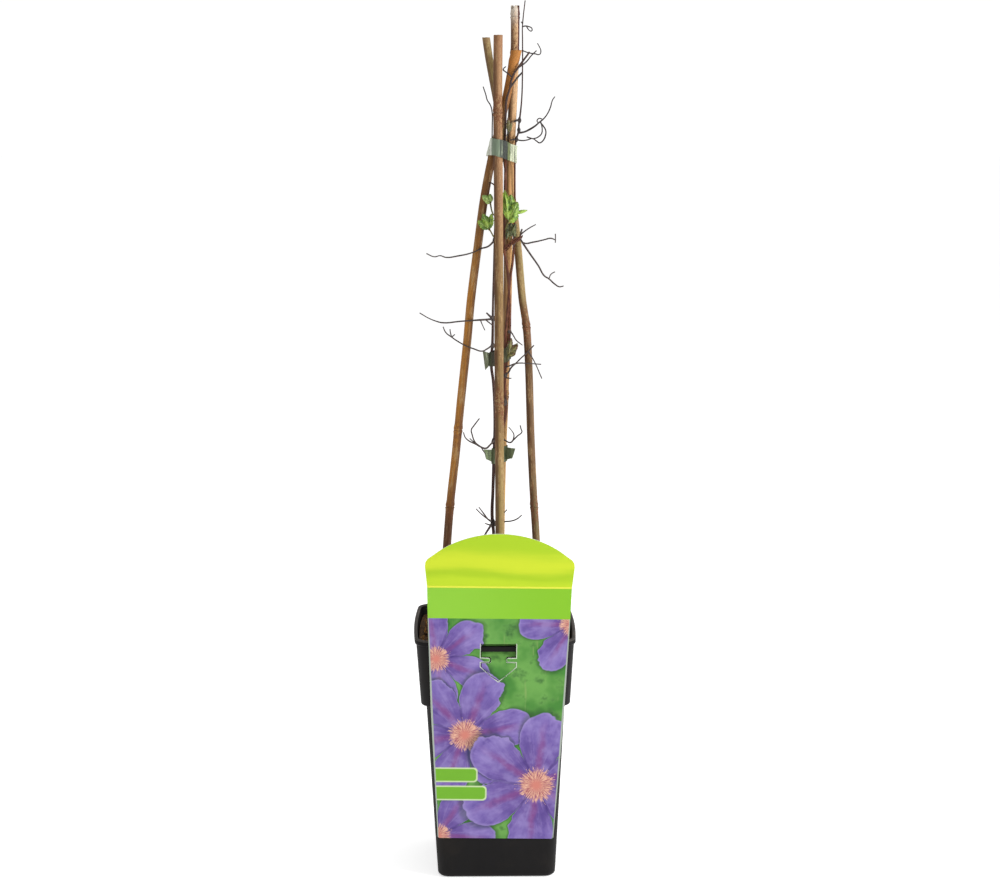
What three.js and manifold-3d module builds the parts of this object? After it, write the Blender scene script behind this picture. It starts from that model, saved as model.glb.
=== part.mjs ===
import * as THREE from 'three';
import { mergeVertices } from 'three/addons/utils/BufferGeometryUtils.js';
import Module from 'manifold-3d';

// A young clematis in a tall square pot, tied to four bamboo canes that lean together, with a printed
// label on the rim. Sizes are in millimetres, +Z is up, +Y runs away from the label, and the origin is the
// middle of the pot's underside.

const wasm = await Module();
wasm.setup();

// Fits

const GAP = 0.3;
const WELD = 1e-4;
const TURN = 2 * Math.PI;

// Driving dimensions of the pot

const POT_HEIGHT = 189.3;
const BASE_HALF = 44.8;
const BODY_TOP_HALF = 52.9;
const BODY_TOP_Z = 136;
const COLLAR_Z = 137.5;
const COLLAR_LOW_HALF = 57;
const COLLAR_TOP_HALF = 60.4;
const RIM_HALF = 61.6;
const RIM_DEPTH = 4.5;
const RIM_LEDGE = 2.6;
const WALL = 1.8;
const SIDE_BULGE = 2.4;
const POT_LEAN = 1.1;
const FLOOR_UNDERSIDE = 3;
const FLOOR_TOP = 5;
const FOOT_WIDTH = 6;
const CENTRE_PAD_RADIUS = 14;
const DRAIN_RADIUS = 4.5;
const DRAIN_RING = 29;
const DRAIN_COUNT = 8;

// Driving dimensions of the soil

const SOIL_EDGE_Z = 182;
const SOIL_TOP_Z = 183.5;

// Driving dimensions of the label, whose own plane leans outwards at the top

const LABEL_THICKNESS = 0.8;
const LABEL_LEAN = THREE.MathUtils.degToRad(5.1);
const LABEL_ROLL = THREE.MathUtils.degToRad(0.8);
const LABEL_HANG_Z = 187;
const LABEL_BACK_Y = -RIM_HALF - GAP;
const LABEL_CENTRE_X = 1.2;
const LABEL_BOTTOM = 32.5;
const LABEL_SHOULDER = 247.7;
const LABEL_APEX = 272.7;
const LABEL_WIDTHS = [
  [LABEL_BOTTOM, 43.7], [134.6, 49.6], [207.7, 52.4], [232, 53.1], [LABEL_SHOULDER, 54.8],
];
const WINDOW_HALF = 13.1;
const WINDOW_TOP = 188.1;
const WINDOW_BOTTOM = 177.2;
const ARROW_TOP = 173.5;
const ARROW_SHOULDER = 170;
const ARROW_TIP = 158.7;
const BARB_REACH = 7;
const TONGUE_CLEARANCE = 0.6;
const TONGUE_BEHIND_Y = -57.2;
const SLOT_HALF = 15;
const SLOT_LOW = 174.6;
const SLOT_HIGH = 181.4;
const NOTCH_FLOOR = 185.6;
const RIM_CUT_DEPTH = 12;

// Bamboo canes: the radius, the heights of the nodes, the centre line and the bore of the cut top

const NODE_RIDGE = 0.45;
const NODE_HALF_LENGTH = 2.2;
const BORE_RADIUS = 1.3;
const BORE_DEPTH = 14;
const FLARE_LENGTH = 18;
const CANES = {
  cane_front: {
    radius: 3.35,
    nodes: [240, 362, 575],
    colour: 0x9b764e,
    path: [
      [3.7, -37, 31], [3.2, -30, 170.5], [2.7, -24.4, 265.2], [2.3, -18.6, 364.5], [2.1, -14.3, 437.6],
      [1.9, -10.6, 511.1], [1.6, -8.9, 554], [1.4, -8.9, 586.9], [1.7, -9.2, 630.9],
    ],
  },
  cane_back: {
    radius: 3.2,
    nodes: [243, 362, 490, 617, 645],
    colour: 0xc19a62,
    path: [
      [2.4, 37.4, 54], [3.2, 30, 173.2], [4, 23.9, 253.8], [5, 19.6, 311.3], [7, 15.5, 366.1],
      [9, 10.3, 435.9], [9.4, 7.2, 473.4], [10.4, 3, 527.7], [11.6, 2.2, 559.6], [12.8, 3, 584.5],
      [14.3, 4.2, 623.6], [14.4, 5, 652.7],
    ],
  },
  cane_left: {
    radius: 3.15,
    flare: 0.9,
    nodes: [279, 338],
    colour: 0xad8959,
    path: [
      [-40.6, 3, 30], [-41.2, 3.2, 105.8], [-41.3, 3, 171.7], [-39.3, 2.5, 217.4], [-37, 2.1, 252.5],
      [-34.4, 1.8, 283.8], [-30.8, 1.5, 315.2], [-26.3, 1, 360.4], [-21.3, 0.5, 406.7], [-18.6, 0.2, 436.3],
      [-12.8, -0.3, 480.9], [-8.8, -0.6, 510.6], [-3.1, -0.9, 540.5], [2.7, -1.4, 564.4],
      [7.5, -2.9, 584.2],
      [12, -3.8, 606.2], [15.2, -4.5, 620.1],
    ],
  },
  cane_right: {
    radius: 2.9,
    nodes: [278, 416],
    colour: 0x886e45,
    path: [
      [36.6, 5, 30], [36, 5.2, 106.4], [34.5, 5.4, 172.3], [30.8, 5.9, 256], [29.1, 6.2, 282.4],
      [26.8, 6.7, 330.4], [25.1, 7.2, 384.5], [23.3, 7.6, 415.1], [20.2, 8.4, 435.8], [16.2, 9.9, 480.4],
      [11.5, 10.6, 518.2], [7, 10.2, 548], [1, 9, 583.8], [-4.6, 7.6, 613.7], [-7, 7, 629.7],
    ],
  },
};

// Stems and their leaf stalks: each limb is a route with its first and last radius

const STEM_LEFT = {
  trunk: {
    from: 1.6,
    to: 0.5,
    route: [
      [-4.6, 12, 145.2], [-3.7, 15.5, 193.9], [-1.4, 18, 252.5], [-2.6, 18.5, 269.1], [-2, 17.5, 287.7],
      [-1.4, 16, 308.2],
      [-0.5, 14, 343.4], [-1.8, 12, 373.8], [-3.2, 11, 385.6], [-2.3, 9, 405.2], [-2, 7, 431.7],
      [-1.3, 5, 459.3],
      [-0.7, 3, 482], [0.1, 1, 503.8], [0.9, -0.6, 515.6], [-0.4, -2.8, 521], [-3, -4.6, 523.4],
      [-5.2, -5.2, 523.8],
    ],
  },
  limbs: [
    { from: 0.75, to: 0.4, route: [[-0.7, 3, 481], [-5.7, -2, 476.6], [-11.4, -5, 475.1],
      [-16.6, -6, 472.6],
      [-28.6, -5, 469.7], [-37.2, -3, 468.6], [-41.4, -2, 469.8], [-45.7, -1, 468.9], [-51.7, 0, 471.3]] },
    { from: 0.8, to: 0.4, route: [[-2.1, 7.7, 421.5], [-7.3, 2, 421.6], [-11.5, -2.5, 421.8],
      [-20.1, -5, 421.5],
      [-26.7, -5, 421], [-39.9, -3, 419.8], [-45.1, -2, 421], [-50.2, -1, 423], [-57, 0, 426.9]] },
    { from: 0.5, to: 0.4, route: [[-11.5, -2.5, 421.8], [-10, -3, 418], [-8.1, -3, 414]] },
    { from: 0.5, to: 0.4, route: [[-7.7, 1.8, 421.6], [-5, 1.6, 419.4], [-2.5, 1.6, 417.5]] },
    { from: 1.3, to: 0.6, route: [[-2.2, 7.2, 421.9], [-4.6, 4.6, 424.2], [-6.9, 3.6, 426.5]] },
    { from: 0.7, to: 0.4, route: [[-2.3, 9.3, 401.7], [-6.5, 5, 399.1], [-10.3, 1, 397.9],
      [-16.7, -4, 400.3],
      [-21.9, -5.4, 402.4], [-28.3, -5, 405.9], [-33, -4, 409], [-37.4, -3, 412.4], [-39.5, -2, 416.7]] },
    { from: 0.5, to: 0.4, route: [[-33, -4, 409], [-33.9, -4.5, 412.2], [-34.3, -5, 415.2]] },
    { from: 0.5, to: 0.4, route: [[-33, -4, 409], [-31.7, -4, 410.2], [-30.5, -4, 411.2]] },
    { from: 0.8, to: 0.45, route: [[-0.7, 14.6, 328.2], [-4.3, 9, 325.1], [-7.4, 6, 323], [-11.5, 4, 324.5],
      [-15, 3, 326.7], [-20.3, 0.8, 329.6], [-23.2, -0.8, 332.7], [-24.4, -1.4, 336.5]] },
    { from: 0.6, to: 0.5, route: [[-11.5, 4, 324.5], [-15.6, 3.5, 328.1], [-18, 3, 334.6],
      [-18.5, 3, 337.6],
      [-16.2, 3.5, 341.2], [-12.3, 4, 346.3]] },
    { from: 0.5, to: 0.4, route: [[-15, 3, 326.7], [-17.6, 4, 329], [-19.7, 5, 330.8]] },
    { from: 0.6, to: 0.4, route: [[-11, 4.2, 324.2], [-9.5, 5, 321.3], [-7.9, 6, 319]] },
    { from: 0.9, to: 0.4, route: [[-2, 18, 263], [-4.3, 14, 265.4], [-6.3, 11, 267.4], [-11.2, 8, 271.9],
      [-15, 6, 276.2]] },
    { from: 0.6, to: 0.4, route: [[-6.3, 11, 267.4], [-9.5, 10.4, 272.1], [-12.9, 10, 276.8]] },
    { from: 0.7, to: 0.4, route: [[-2, 18, 261.1], [-4.9, 15, 261.9], [-8.2, 13.4, 263.4]] },
    { from: 1, to: 0.7, route: [[-2.3, 17.5, 262.7], [-4.6, 13, 260.2], [-8.2, 9, 255.2],
      [-10.5, 6, 250.3]] },
  ],
  knobs: [[-1.8, 18.1, 262.3, 2.2], [-1.3, 16, 326.8, 1.9], [-2.2, 9.2, 401.2, 1.7], [-2.1, 7.4, 421.9, 1.8],
    [-0.8, 3.1, 481.1, 1.6]],
};

const STEM_RIGHT = {
  trunk: {
    from: 1.4,
    to: 0.4,
    route: [
      [1.4, 9, 145.1], [1.6, 11.5, 198.6], [1.9, 13, 254.2], [2.6, 15, 281.3], [3.1, 14.2, 312.6],
      [4.6, 12.3, 334.5],
      [7.6, 11.3, 347.8], [7.3, 10.2, 367.1], [7.1, 8.8, 386.4], [7.4, 7.4, 405.6], [9.5, 5.2, 432.3],
      [11.1, 3.5, 453.8], [12.8, 3, 465.4], [13.6, 2.8, 478.1], [14.2, 2.2, 507], [14.1, -0.9, 530.7],
      [14.3, -1.8, 547.6], [15.1, -1.6, 555.2], [16.7, -0.8, 560.4], [17.2, 0, 566.8], [17.8, 0.5, 571],
      [19.2, 1, 584.2], [19.8, 2, 606.7], [19.8, 3, 629], [19.7, 3.2, 636.3], [20.1, 3.4, 642.1],
      [21.7, 4, 656.6],
    ],
  },
  branch: {
    from: 1.3,
    to: 0.85,
    route: [
      [7.2, 9.4, 381], [9, 8.4, 394.1], [10.5, 7.4, 411.6], [10.5, 5.5, 432.2], [9.9, 3.4, 447.4],
      [8.8, 2.6, 459.5], [6.4, 1.2, 473.3], [6.1, -0.2, 487.3], [6.5, -1, 507.3], [7, -1.6, 522.7],
      [7.1, -2.4, 538.2], [7, -2.8, 551.3], [7, -4.5, 563.7], [7.2, -6.9, 573.9], [7.8, -8.1, 584.1],
      [10.2, -8.2, 592.2], [12.4, -8.5, 601.3], [16.9, -7.4, 608.1], [20.7, -6.4, 613.3],
      [24.8, -5.5, 618.7],
    ],
  },
  limbs: [
    { from: 0.8, to: 0.6, route: [[10, -8.2, 592], [15.2, -7.7, 599.4], [19.2, -6, 603.8]] },
    { from: 0.6, to: 0.45, route: [[16.2, -7.5, 607.1], [22.6, -5, 611.9], [25.9, -4.5, 615.9],
      [29.9, -4, 619.8]] },
    { from: 0.5, to: 0.4, route: [[19.7, 3.2, 637.2], [21.6, 2.8, 637.7], [24.2, 2.2, 637.3],
      [26.6, 2, 636],
      [26.5, 2, 634.2], [25, 2.6, 634.4], [23.5, 3.6, 636.2], [22.8, 4.4, 637.4]] },
    { from: 0.45, to: 0.4, route: [[19.9, 3.4, 639.4], [19.3, 4, 640.2], [18.8, 4.5, 640.8]] },
    { from: 0.5, to: 0.4, route: [[19.8, 2.7, 620], [24.5, 1, 618.3], [28.9, 0, 617.6], [32.3, -0.5, 617.2],
      [33.2, -0.5, 619.4], [32.2, -0.5, 622.5], [30.6, -0.5, 625.2]] },
    { from: 0.5, to: 0.4, route: [[12, -8.4, 600.2], [8.9, -8.6, 603.1], [6.6, -7, 604.8], [5.5, -4.8, 606],
      [6.6, -3.2, 607.7], [7.5, -2.7, 608.2]] },
    { from: 0.9, to: 0.6, route: [[17.5, 0.2, 569.7], [15, -2, 569.1], [13.2, -2.6, 568.1]] },
    { from: 0.8, to: 0.4, route: [[16.9, -0.8, 560.2], [20.9, -1, 560.8], [25.4, -1.2, 562.9],
      [29.6, -1.2, 565.6],
      [32.3, -1.2, 568], [34.1, -1, 569.3], [37.5, -0.5, 573], [40.3, 0, 578.5], [42, 0.3, 584.2],
      [43.7, 0.4, 586.6]] },
    { from: 0.45, to: 0.4, route: [[31.9, -1.3, 567.4], [30.5, -2.4, 568.8], [31.6, -2.6, 570.6],
      [33.6, -2.4, 570.5],
      [34.4, -1.6, 569.3]] },
    { from: 0.55, to: 0.45, route: [[32.7, -1.4, 568], [35.1, -2, 565.2], [36.9, -2.4, 561.9],
      [36.6, -2.6, 557.9],
      [34.8, -2.6, 554.4], [32.4, -2.4, 552.9], [30.2, -2, 554.2], [27.9, -1.6, 555.8], [26.3, -1.4, 556.2],
      [22.9, -1.2, 557.3]] },
    { from: 0.5, to: 0.45, route: [[33.4, -1.4, 567.8], [34.3, -0.4, 563.8], [33.9, 0.2, 559.6],
      [30.7, -0.4, 556.8],
      [27.7, -1.4, 555.9]] },
    { from: 0.6, to: 0.45, route: [[15.2, -1.7, 555.4], [18, -1.8, 554.7], [22.3, -1.6, 554.8],
      [26.5, -1.4, 556.1]] },
    { from: 0.6, to: 0.45, route: [[15.2, -1.7, 555.4], [12.9, -3, 555.2], [10.9, -4, 554.9]] },
    { from: 1, to: 0.9, route: [[6.4, 1, 474], [9.2, 0.5, 477.2], [12.9, 0, 480.1], [16.6, 1.5, 481.5],
      [18.5, 3, 481.8]] },
    { from: 0.9, to: 0.8, route: [[6.3, 0.4, 476.9], [10.7, -0.9, 479.8], [14.3, 0, 482.3],
      [18.2, 2.6, 482.5]] },
    { from: 0.8, to: 0.7, route: [[13.6, 2.8, 479.6], [16.2, 3, 480.7], [18.5, 3, 481.8]] },
    { from: 0.75, to: 0.45, route: [[18.5, 3, 481.8], [20.8, 3.5, 478.9], [28.2, 3, 479.5],
      [36.2, 2, 481.3],
      [41.3, 1.5, 482.4], [44.5, 1.2, 481.2]] },
    { from: 0.4, to: 0.45, route: [[44.5, 1, 485.8], [44.6, 1.1, 482.7], [44.5, 1.2, 479.1]] },
    { from: 0.75, to: 0.45, route: [[18.5, 3, 481.5], [24.8, 2, 472.1], [32.2, 0, 461.5], [36.2, -1, 454.7],
      [39.7, -1, 452.4], [44.2, -1.5, 448.4], [47.6, -2, 446.5], [50.7, -2, 447.1]] },
    { from: 0.45, to: 0.4, route: [[39.7, -1, 452.4], [41.3, -1.6, 455.9], [44.2, -2, 457.7]] },
    { from: 0.8, to: 0.6, route: [[18, 2.7, 481.9], [18.8, 2.4, 486.6], [19.7, 2.2, 489.3]] },
    { from: 0.6, to: 0.4, route: [[18.6, 2.4, 485], [20.8, 2, 487], [25.2, 1.6, 490.1], [29.9, 1, 492.7]] },
    { from: 0.6, to: 0.4, route: [[7.1, 8.9, 384.7], [9.7, 6.2, 385.8], [13.8, 4.4, 387.7],
      [17.8, 2.6, 388.6],
      [24.4, 2, 388.4], [34.3, 2, 387.7]] },
    { from: 0.75, to: 0.5, route: [[7.4, 9.6, 378.7], [10.1, 7.4, 381.5], [11.3, 6, 384.2],
      [15.3, 3.6, 388.4],
      [19.1, 2.6, 392.4], [23.9, 2.2, 396.9], [28.8, 2.8, 402.1]] },
    { from: 0.5, to: 0.4, route: [[24.5, 2.1, 397.6], [29, 2.4, 390], [34.8, 2, 376.9]] },
    { from: 0.7, to: 0.4, route: [[7.3, 9.8, 377.2], [9.4, 8, 376.5], [12, 7.6, 376.4]] },
    { from: 0.6, to: 0.4, route: [[10.4, 7.4, 412.5], [11.9, 6.2, 411.3], [13.6, 5.2, 408.8],
      [15.3, 4.8, 405.9],
      [18, 4.6, 403.6], [20.3, 4.2, 401.9]] },
    { from: 0.65, to: 0.5, route: [[4, 12.6, 330.2], [7.2, 10.4, 328.5], [11.3, 9.2, 326.9],
      [13.5, 8.4, 329],
      [16.6, 8, 332.1], [20, 7.6, 335.4], [19.3, 7.5, 337.6], [18.7, 7.5, 340.4]] },
    { from: 0.5, to: 0.4, route: [[13.3, 8.5, 328.6], [13.9, 8.8, 333.1], [12.1, 9, 336.3],
      [9.9, 9, 338.8]] },
    { from: 0.7, to: 0.4, route: [[2.1, 13.4, 263.5], [6.7, 10, 265.3], [12, 8, 266.2], [16.5, 7, 268.1],
      [20.1, 6.4, 271.2]] },
    { from: 0.6, to: 0.4, route: [[2.4, 13.8, 267.6], [5, 12, 270.5], [7.1, 11.4, 272.6],
      [8.7, 11, 274.5]] },
  ],
  knobs: [[2.2, 13.5, 265, 1.9], [3.9, 12.8, 329.6, 1.8], [7.2, 10.2, 357.8, 1.9], [7.3, 9.6, 378.6, 1.8],
    [10.5, 7.4, 412.1, 1.6], [13.4, 2.6, 479.6, 1.7], [15.3, -1.7, 555.6, 1.5], [17.1, -0.3, 562.4, 1.4],
    [17.6, 0.3, 569.4, 1.5]],
};

const STALK_TOP_LEFT = {
  from: 0.5,
  to: 0.4,
  route: [[-2.9, -4.9, 544], [-2.8, -5, 553.2], [-2.6, -5, 565.2], [-2.7, -4.7, 575.2], [-4, -4.2, 580.5],
    [-6.3, -4.2, 584.1], [-7.2, -4.4, 587.6], [-9.3, -5, 593.8]],
};

// Leaf sprays: a stalk that starts beside its stem, and leaflets that grow from the stalk

const LEAF_GREEN = 0x6c8232;
const LEAF_DARK = 0x4c5528;
const LEAF_DRY = 0x6b6136;
const LEAF_THICKNESS = 0.7;
const SPRAYS = {
  leaves_left_upper: {
    colour: LEAF_GREEN,
    stalk: [[-0.6, -0.1, 499.1], [-2.3, -3.2, 501.2], [-4.3, -5.6, 509.9]],
    leaflets: [
      { base: [-4, -5.5, 509.4], tip: [-9.8, -6.6, 514.6], width: 5.4, fold: 0.7 },
      { base: [-4, -5.5, 509.4], tip: [-4.2, -6.4, 515.6], width: 4.6, fold: 0.6 },
      { base: [-4, -5.3, 509.2], tip: [-8.4, -6.8, 510.4], width: 3.6, fold: 0.5 },
    ],
  },
  leaves_left_lower: {
    colour: LEAF_GREEN,
    stalk: [[-1.6, 1.6, 483.7], [-3.5, -2.6, 487.3], [-5.1, -5.4, 490.1]],
    leaflets: [
      { base: [-4.9, -5.2, 489.8], tip: [-13.5, -7.2, 495.8], width: 6.4, fold: 0.9 },
      { base: [-5, -5.3, 489.9], tip: [-9.5, -7.4, 501.1], width: 7, fold: 1 },
      { base: [-5, -5.3, 489.9], tip: [-3, -6.2, 501], width: 5.4, fold: 0.7 },
    ],
  },
  leaves_right: {
    colour: LEAF_GREEN,
    stalk: [[7.1, -1.9, 489], [8.3, -3.8, 492.5], [9.8, -4.6, 496.6]],
    leaflets: [
      { base: [9.6, -5, 496.2], tip: [6.4, -7.6, 518.6], width: 7.6, fold: 1 },
      { base: [9.8, -4.5, 496.2], tip: [11.4, -4.6, 515], width: 10.4, fold: 1.1 },
      { base: [10, -4.7, 496], tip: [16.2, -7, 509.6], width: 8.4, fold: 0.9 },
      { base: [9.5, -4.4, 495.6], tip: [17, -4.6, 499.6], width: 6, fold: 0.7 },
      { base: [13.4, -5.2, 501.2], tip: [23.6, -3.6, 503.4], width: 4.2, fold: 0.8 },
    ],
  },
  leaves_dark: {
    colour: LEAF_DARK,
    stalk: [[10.4, -2, 481.4], [10.3, -2.3, 482.8], [10.3, -2.6, 484.8]],
    leaflets: [
      { base: [10.3, -2.5, 484.2], tip: [9.1, 0.4, 493.8], width: 2.6, fold: 0.5 },
      { base: [10.3, -2.5, 484.2], tip: [11.5, -1.8, 494.1], width: 4.6, fold: 0.9 },
      { base: [10.3, -2.5, 484.2], tip: [14.9, -2.2, 493.5], width: 3.6, fold: 0.7 },
    ],
  },
  remnants_top: {
    colour: LEAF_DRY,
    stalk: [[8.3, -5.2, 558.4], [9, -6.2, 559.5], [9.4, -6.9, 561.1]],
    leaflets: [
      { base: [9.3, -6.7, 560.5], tip: [9.1, -9.4, 571.9], width: 3.2, fold: 0.8 },
      { base: [9.3, -6.7, 560.5], tip: [12.2, -7.4, 569.1], width: 2.8, fold: 0.7 },
    ],
  },
  remnants_middle: {
    colour: LEAF_DRY,
    stalk: [[9, 4.6, 391.8], [9.4, 4.4, 393.2], [9.8, 4.1, 395.1]],
    leaflets: [
      { base: [9.7, 4.2, 394.3], tip: [11.8, 3.6, 407.5], width: 5, fold: 1 },
      { base: [9.7, 4.2, 394.3], tip: [16.7, 3.2, 402.6], width: 5.4, fold: 1.1 },
      { base: [9.7, 4.2, 394.3], tip: [14.8, 3, 395.3], width: 3.4, fold: 0.8 },
    ],
  },
};

// Tape ties: what each goes round, its height and slope, and its loose ends

const TAPE = 0.7;
const TIES = {
  tie_top: {
    colour: 0x737a66,
    around: [...Object.keys(CANES), 'trunk_right', 'branch_right', 'stalk_top_left'],
    middle: 546.7,
    slope: -0.42,
    half: 6.4,
    ends: [],
  },
  tie_middle: {
    colour: 0x4d472e,
    around: ['cane_back', 'trunk_left', 'trunk_right', 'branch_right'],
    middle: 393.6,
    slope: 0.35,
    half: 5.6,
    ends: [
      { bearing: 195, reach: [[-7.8, 8, 382.8], [-9.8, 7.8, 397.4]] },
      { bearing: 335, reach: [[14.9, 5.4, 395], [16.7, 5.2, 403.7]] },
    ],
  },
  tie_low: {
    colour: 0x51573a,
    around: ['cane_back', 'trunk_left', 'trunk_right'],
    middle: 316.4,
    slope: 0.1,
    half: 6,
    ends: [
      { bearing: 205, reach: [[-7.2, 12.6, 313.5], [-9.2, 12.2, 321.1]] },
      { bearing: 330, reach: [[12.6, 12.8, 314], [15.2, 12.4, 321.8]] },
    ],
  },
};

// Turning geometries into closed solids and back

function solid(geometry) {
  const bare = geometry.clone();
  bare.deleteAttribute('normal');
  bare.deleteAttribute('uv');
  const welded = mergeVertices(bare, WELD);
  const corners = welded.index.array;
  const triVerts = [];
  for (let i = 0; i < corners.length; i += 3) {
    const [a, b, c] = corners.slice(i, i + 3);
    if (a !== b && b !== c && c !== a) triVerts.push(a, b, c);
  }
  return new wasm.Manifold(new wasm.Mesh({
    numProp: 3,
    vertProperties: welded.attributes.position.array,
    triVerts: new Uint32Array(triVerts),
  }));
}

function piece(name, body, colour, roughness) {
  const mesh = body.getMesh();
  const geometry = new THREE.BufferGeometry();
  geometry.setAttribute('position', new THREE.BufferAttribute(mesh.vertProperties, 3));
  geometry.setIndex(new THREE.BufferAttribute(mesh.triVerts, 1));
  geometry.computeVertexNormals();
  const material = new THREE.MeshStandardMaterial({ color: colour, roughness, metalness: 0 });
  const result = new THREE.Mesh(geometry, material);
  result.name = name;
  return result;
}

function join(bodies) {
  return bodies.reduce((whole, body) => whole.add(body));
}

function moveVertices(geometry, place) {
  const position = geometry.attributes.position;
  for (let i = 0; i < position.count; i++) {
    const moved = place(position.getX(i), position.getY(i), position.getZ(i));
    position.setXYZ(i, ...moved);
  }
  return geometry;
}

// Rounded square sections, stacked by height: the sides bow outwards, and the soft pot leans a little

const CORNER_SHARE = 0.17;
const CORNER_STEPS = 4;
const SIDE_STEPS = 5;

function roundedSquare() {
  const points = [];
  const straight = 1 - CORNER_SHARE;
  for (let side = 0; side < 4; side++) {
    const turned = (x, y) => new THREE.Vector2(x, y).rotateAround(new THREE.Vector2(), side * TURN / 4);
    for (let i = 0; i < SIDE_STEPS; i++) {
      points.push(turned(1, straight * (2 * i / SIDE_STEPS - 1)));
    }
    for (let i = 0; i < CORNER_STEPS; i++) {
      const angle = TURN / 4 * i / CORNER_STEPS;
      const [across, up] = [CORNER_SHARE * Math.cos(angle), CORNER_SHARE * Math.sin(angle)];
      points.push(turned(straight + across, straight + up));
    }
  }
  return new THREE.Shape(points);
}

function onSection(x, y, z, half) {
  const share = z / POT_HEIGHT;
  const bulge = SIDE_BULGE * share * half / RIM_HALF;
  return [x * (half - bulge * y * y) - POT_LEAN * share, y * (half - bulge * x * x), z];
}

function squareStack(levels) {
  const steps = levels.length - 1;
  const stack = new THREE.ExtrudeGeometry(roundedSquare(), { depth: steps, steps, bevelEnabled: false });
  return moveVertices(stack, (x, y, level) => onSection(x, y, ...levels[Math.round(level)]));
}

// Pot

const CAVITY_LEVELS = [
  [FLOOR_TOP, BASE_HALF - WALL],
  [BODY_TOP_Z + 0.5, BODY_TOP_HALF - WALL],
  [COLLAR_Z + 3.5, COLLAR_LOW_HALF - WALL],
  [POT_HEIGHT + 1, RIM_HALF - RIM_LEDGE],
];

function cavityHalf(z) {
  const above = CAVITY_LEVELS.findIndex(([height]) => height >= z);
  const [lowZ, lowHalf] = CAVITY_LEVELS[above - 1];
  const [highZ, highHalf] = CAVITY_LEVELS[above];
  return THREE.MathUtils.mapLinear(z, lowZ, highZ, lowHalf, highHalf);
}

function potBody() {
  const shell = solid(squareStack([
    [0, BASE_HALF - 3.6],
    [0.8, BASE_HALF - 1.6],
    [3.5, BASE_HALF],
    [BODY_TOP_Z, BODY_TOP_HALF],
    [COLLAR_Z, COLLAR_LOW_HALF - 2],
    [COLLAR_Z + 1, COLLAR_LOW_HALF - 0.6],
    [COLLAR_Z + 3, COLLAR_LOW_HALF],
    [POT_HEIGHT - RIM_DEPTH, COLLAR_TOP_HALF],
    [POT_HEIGHT - RIM_DEPTH + 1, RIM_HALF - 0.4],
    [POT_HEIGHT - RIM_DEPTH + 2, RIM_HALF],
    [POT_HEIGHT - 0.8, RIM_HALF],
    [POT_HEIGHT, RIM_HALF - 0.8],
  ]));
  const cavity = solid(squareStack(CAVITY_LEVELS));
  const recessHalf = BASE_HALF - FOOT_WIDTH;
  const recessLevels = [[-1, recessHalf - 1], [0, recessHalf - 1], [FLOOR_UNDERSIDE, recessHalf]];
  const pad = new THREE.CylinderGeometry(CENTRE_PAD_RADIUS + 1, CENTRE_PAD_RADIUS, 8, 24);
  const underside = solid(squareStack(recessLevels)).subtract(solid(pad.rotateX(TURN / 4)));
  let body = shell.subtract(cavity).subtract(underside);
  for (const [low, high] of [[SLOT_LOW, SLOT_HIGH], [NOTCH_FLOOR, POT_HEIGHT + 1]]) {
    const cut = new THREE.BoxGeometry(2 * SLOT_HALF, RIM_CUT_DEPTH, high - low);
    body = body.subtract(solid(cut.translate(LABEL_CENTRE_X, -RIM_HALF, (low + high) / 2)));
  }
  for (let i = 0; i < DRAIN_COUNT; i++) {
    const angle = (i + 0.5) / DRAIN_COUNT * TURN;
    const hole = new THREE.CylinderGeometry(DRAIN_RADIUS, DRAIN_RADIUS, 3 * FLOOR_TOP, 8).rotateX(TURN / 4);
    hole.translate(DRAIN_RING * Math.cos(angle), DRAIN_RING * Math.sin(angle), FLOOR_TOP);
    body = body.subtract(solid(hole));
  }
  return body;
}

// Centre lines

function curveThrough(points) {
  return new THREE.CatmullRomCurve3(points.map((point) => new THREE.Vector3(...point)), false, 'centripetal');
}

function pointAtHeight(curve, z) {
  let low = 0;
  let high = 1;
  while (high - low > WELD) {
    const middle = (low + high) / 2;
    if (curve.getPoint(middle).z < z) low = middle;
    else high = middle;
  }
  return curve.getPoint(low);
}

// Canes: a turned profile, carried along the centre line

const CANE_SIDES = 10;
const CANE_STEP = 30;

function caneProfile(cane, length, foot) {
  const profile = [[0, 0], [cane.radius - 0.6, 0], [cane.radius, 0.6]];
  const heights = [];
  for (let z = foot + CANE_STEP; z < foot + length - CANE_STEP / 2; z += CANE_STEP) {
    if (cane.nodes.every((node) => Math.abs(node - z) > CANE_STEP / 3)) heights.push([z, 0]);
  }
  for (const node of cane.nodes) {
    heights.push([node - NODE_HALF_LENGTH, 0], [node, NODE_RIDGE], [node + NODE_HALF_LENGTH, -0.1]);
  }
  heights.sort((a, b) => a[0] - b[0]);
  for (const [z, swell] of heights) profile.push([cane.radius + swell, z - foot]);
  const topRadius = cane.radius + (cane.flare ?? 0);
  if (cane.flare) {
    profile.push([cane.radius + 0.1, length - FLARE_LENGTH], [topRadius, length - FLARE_LENGTH / 3]);
  }
  profile.push([topRadius, length - 0.4], [topRadius - 0.4, length], [BORE_RADIUS, length]);
  profile.push([BORE_RADIUS, length - BORE_DEPTH], [0, length - BORE_DEPTH]);
  return profile.map(([radius, along]) => new THREE.Vector2(radius, along));
}

function carryAlong(geometry, curve, foot, length) {
  return moveVertices(geometry, (x, along, z) => {
    const centre = pointAtHeight(curve, Math.min(foot + along, foot + length));
    return [centre.x + x, centre.y - z, foot + along];
  });
}

function caneBody(cane) {
  const curve = curveThrough(cane.path);
  const foot = cane.path[0][2];
  const length = cane.path.at(-1)[2] - foot;
  const turned = new THREE.LatheGeometry(caneProfile(cane, length, foot), CANE_SIDES);
  return solid(carryAlong(turned, curve, foot, length));
}

// Limbs: round rods of changing thickness along a smooth route

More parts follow.
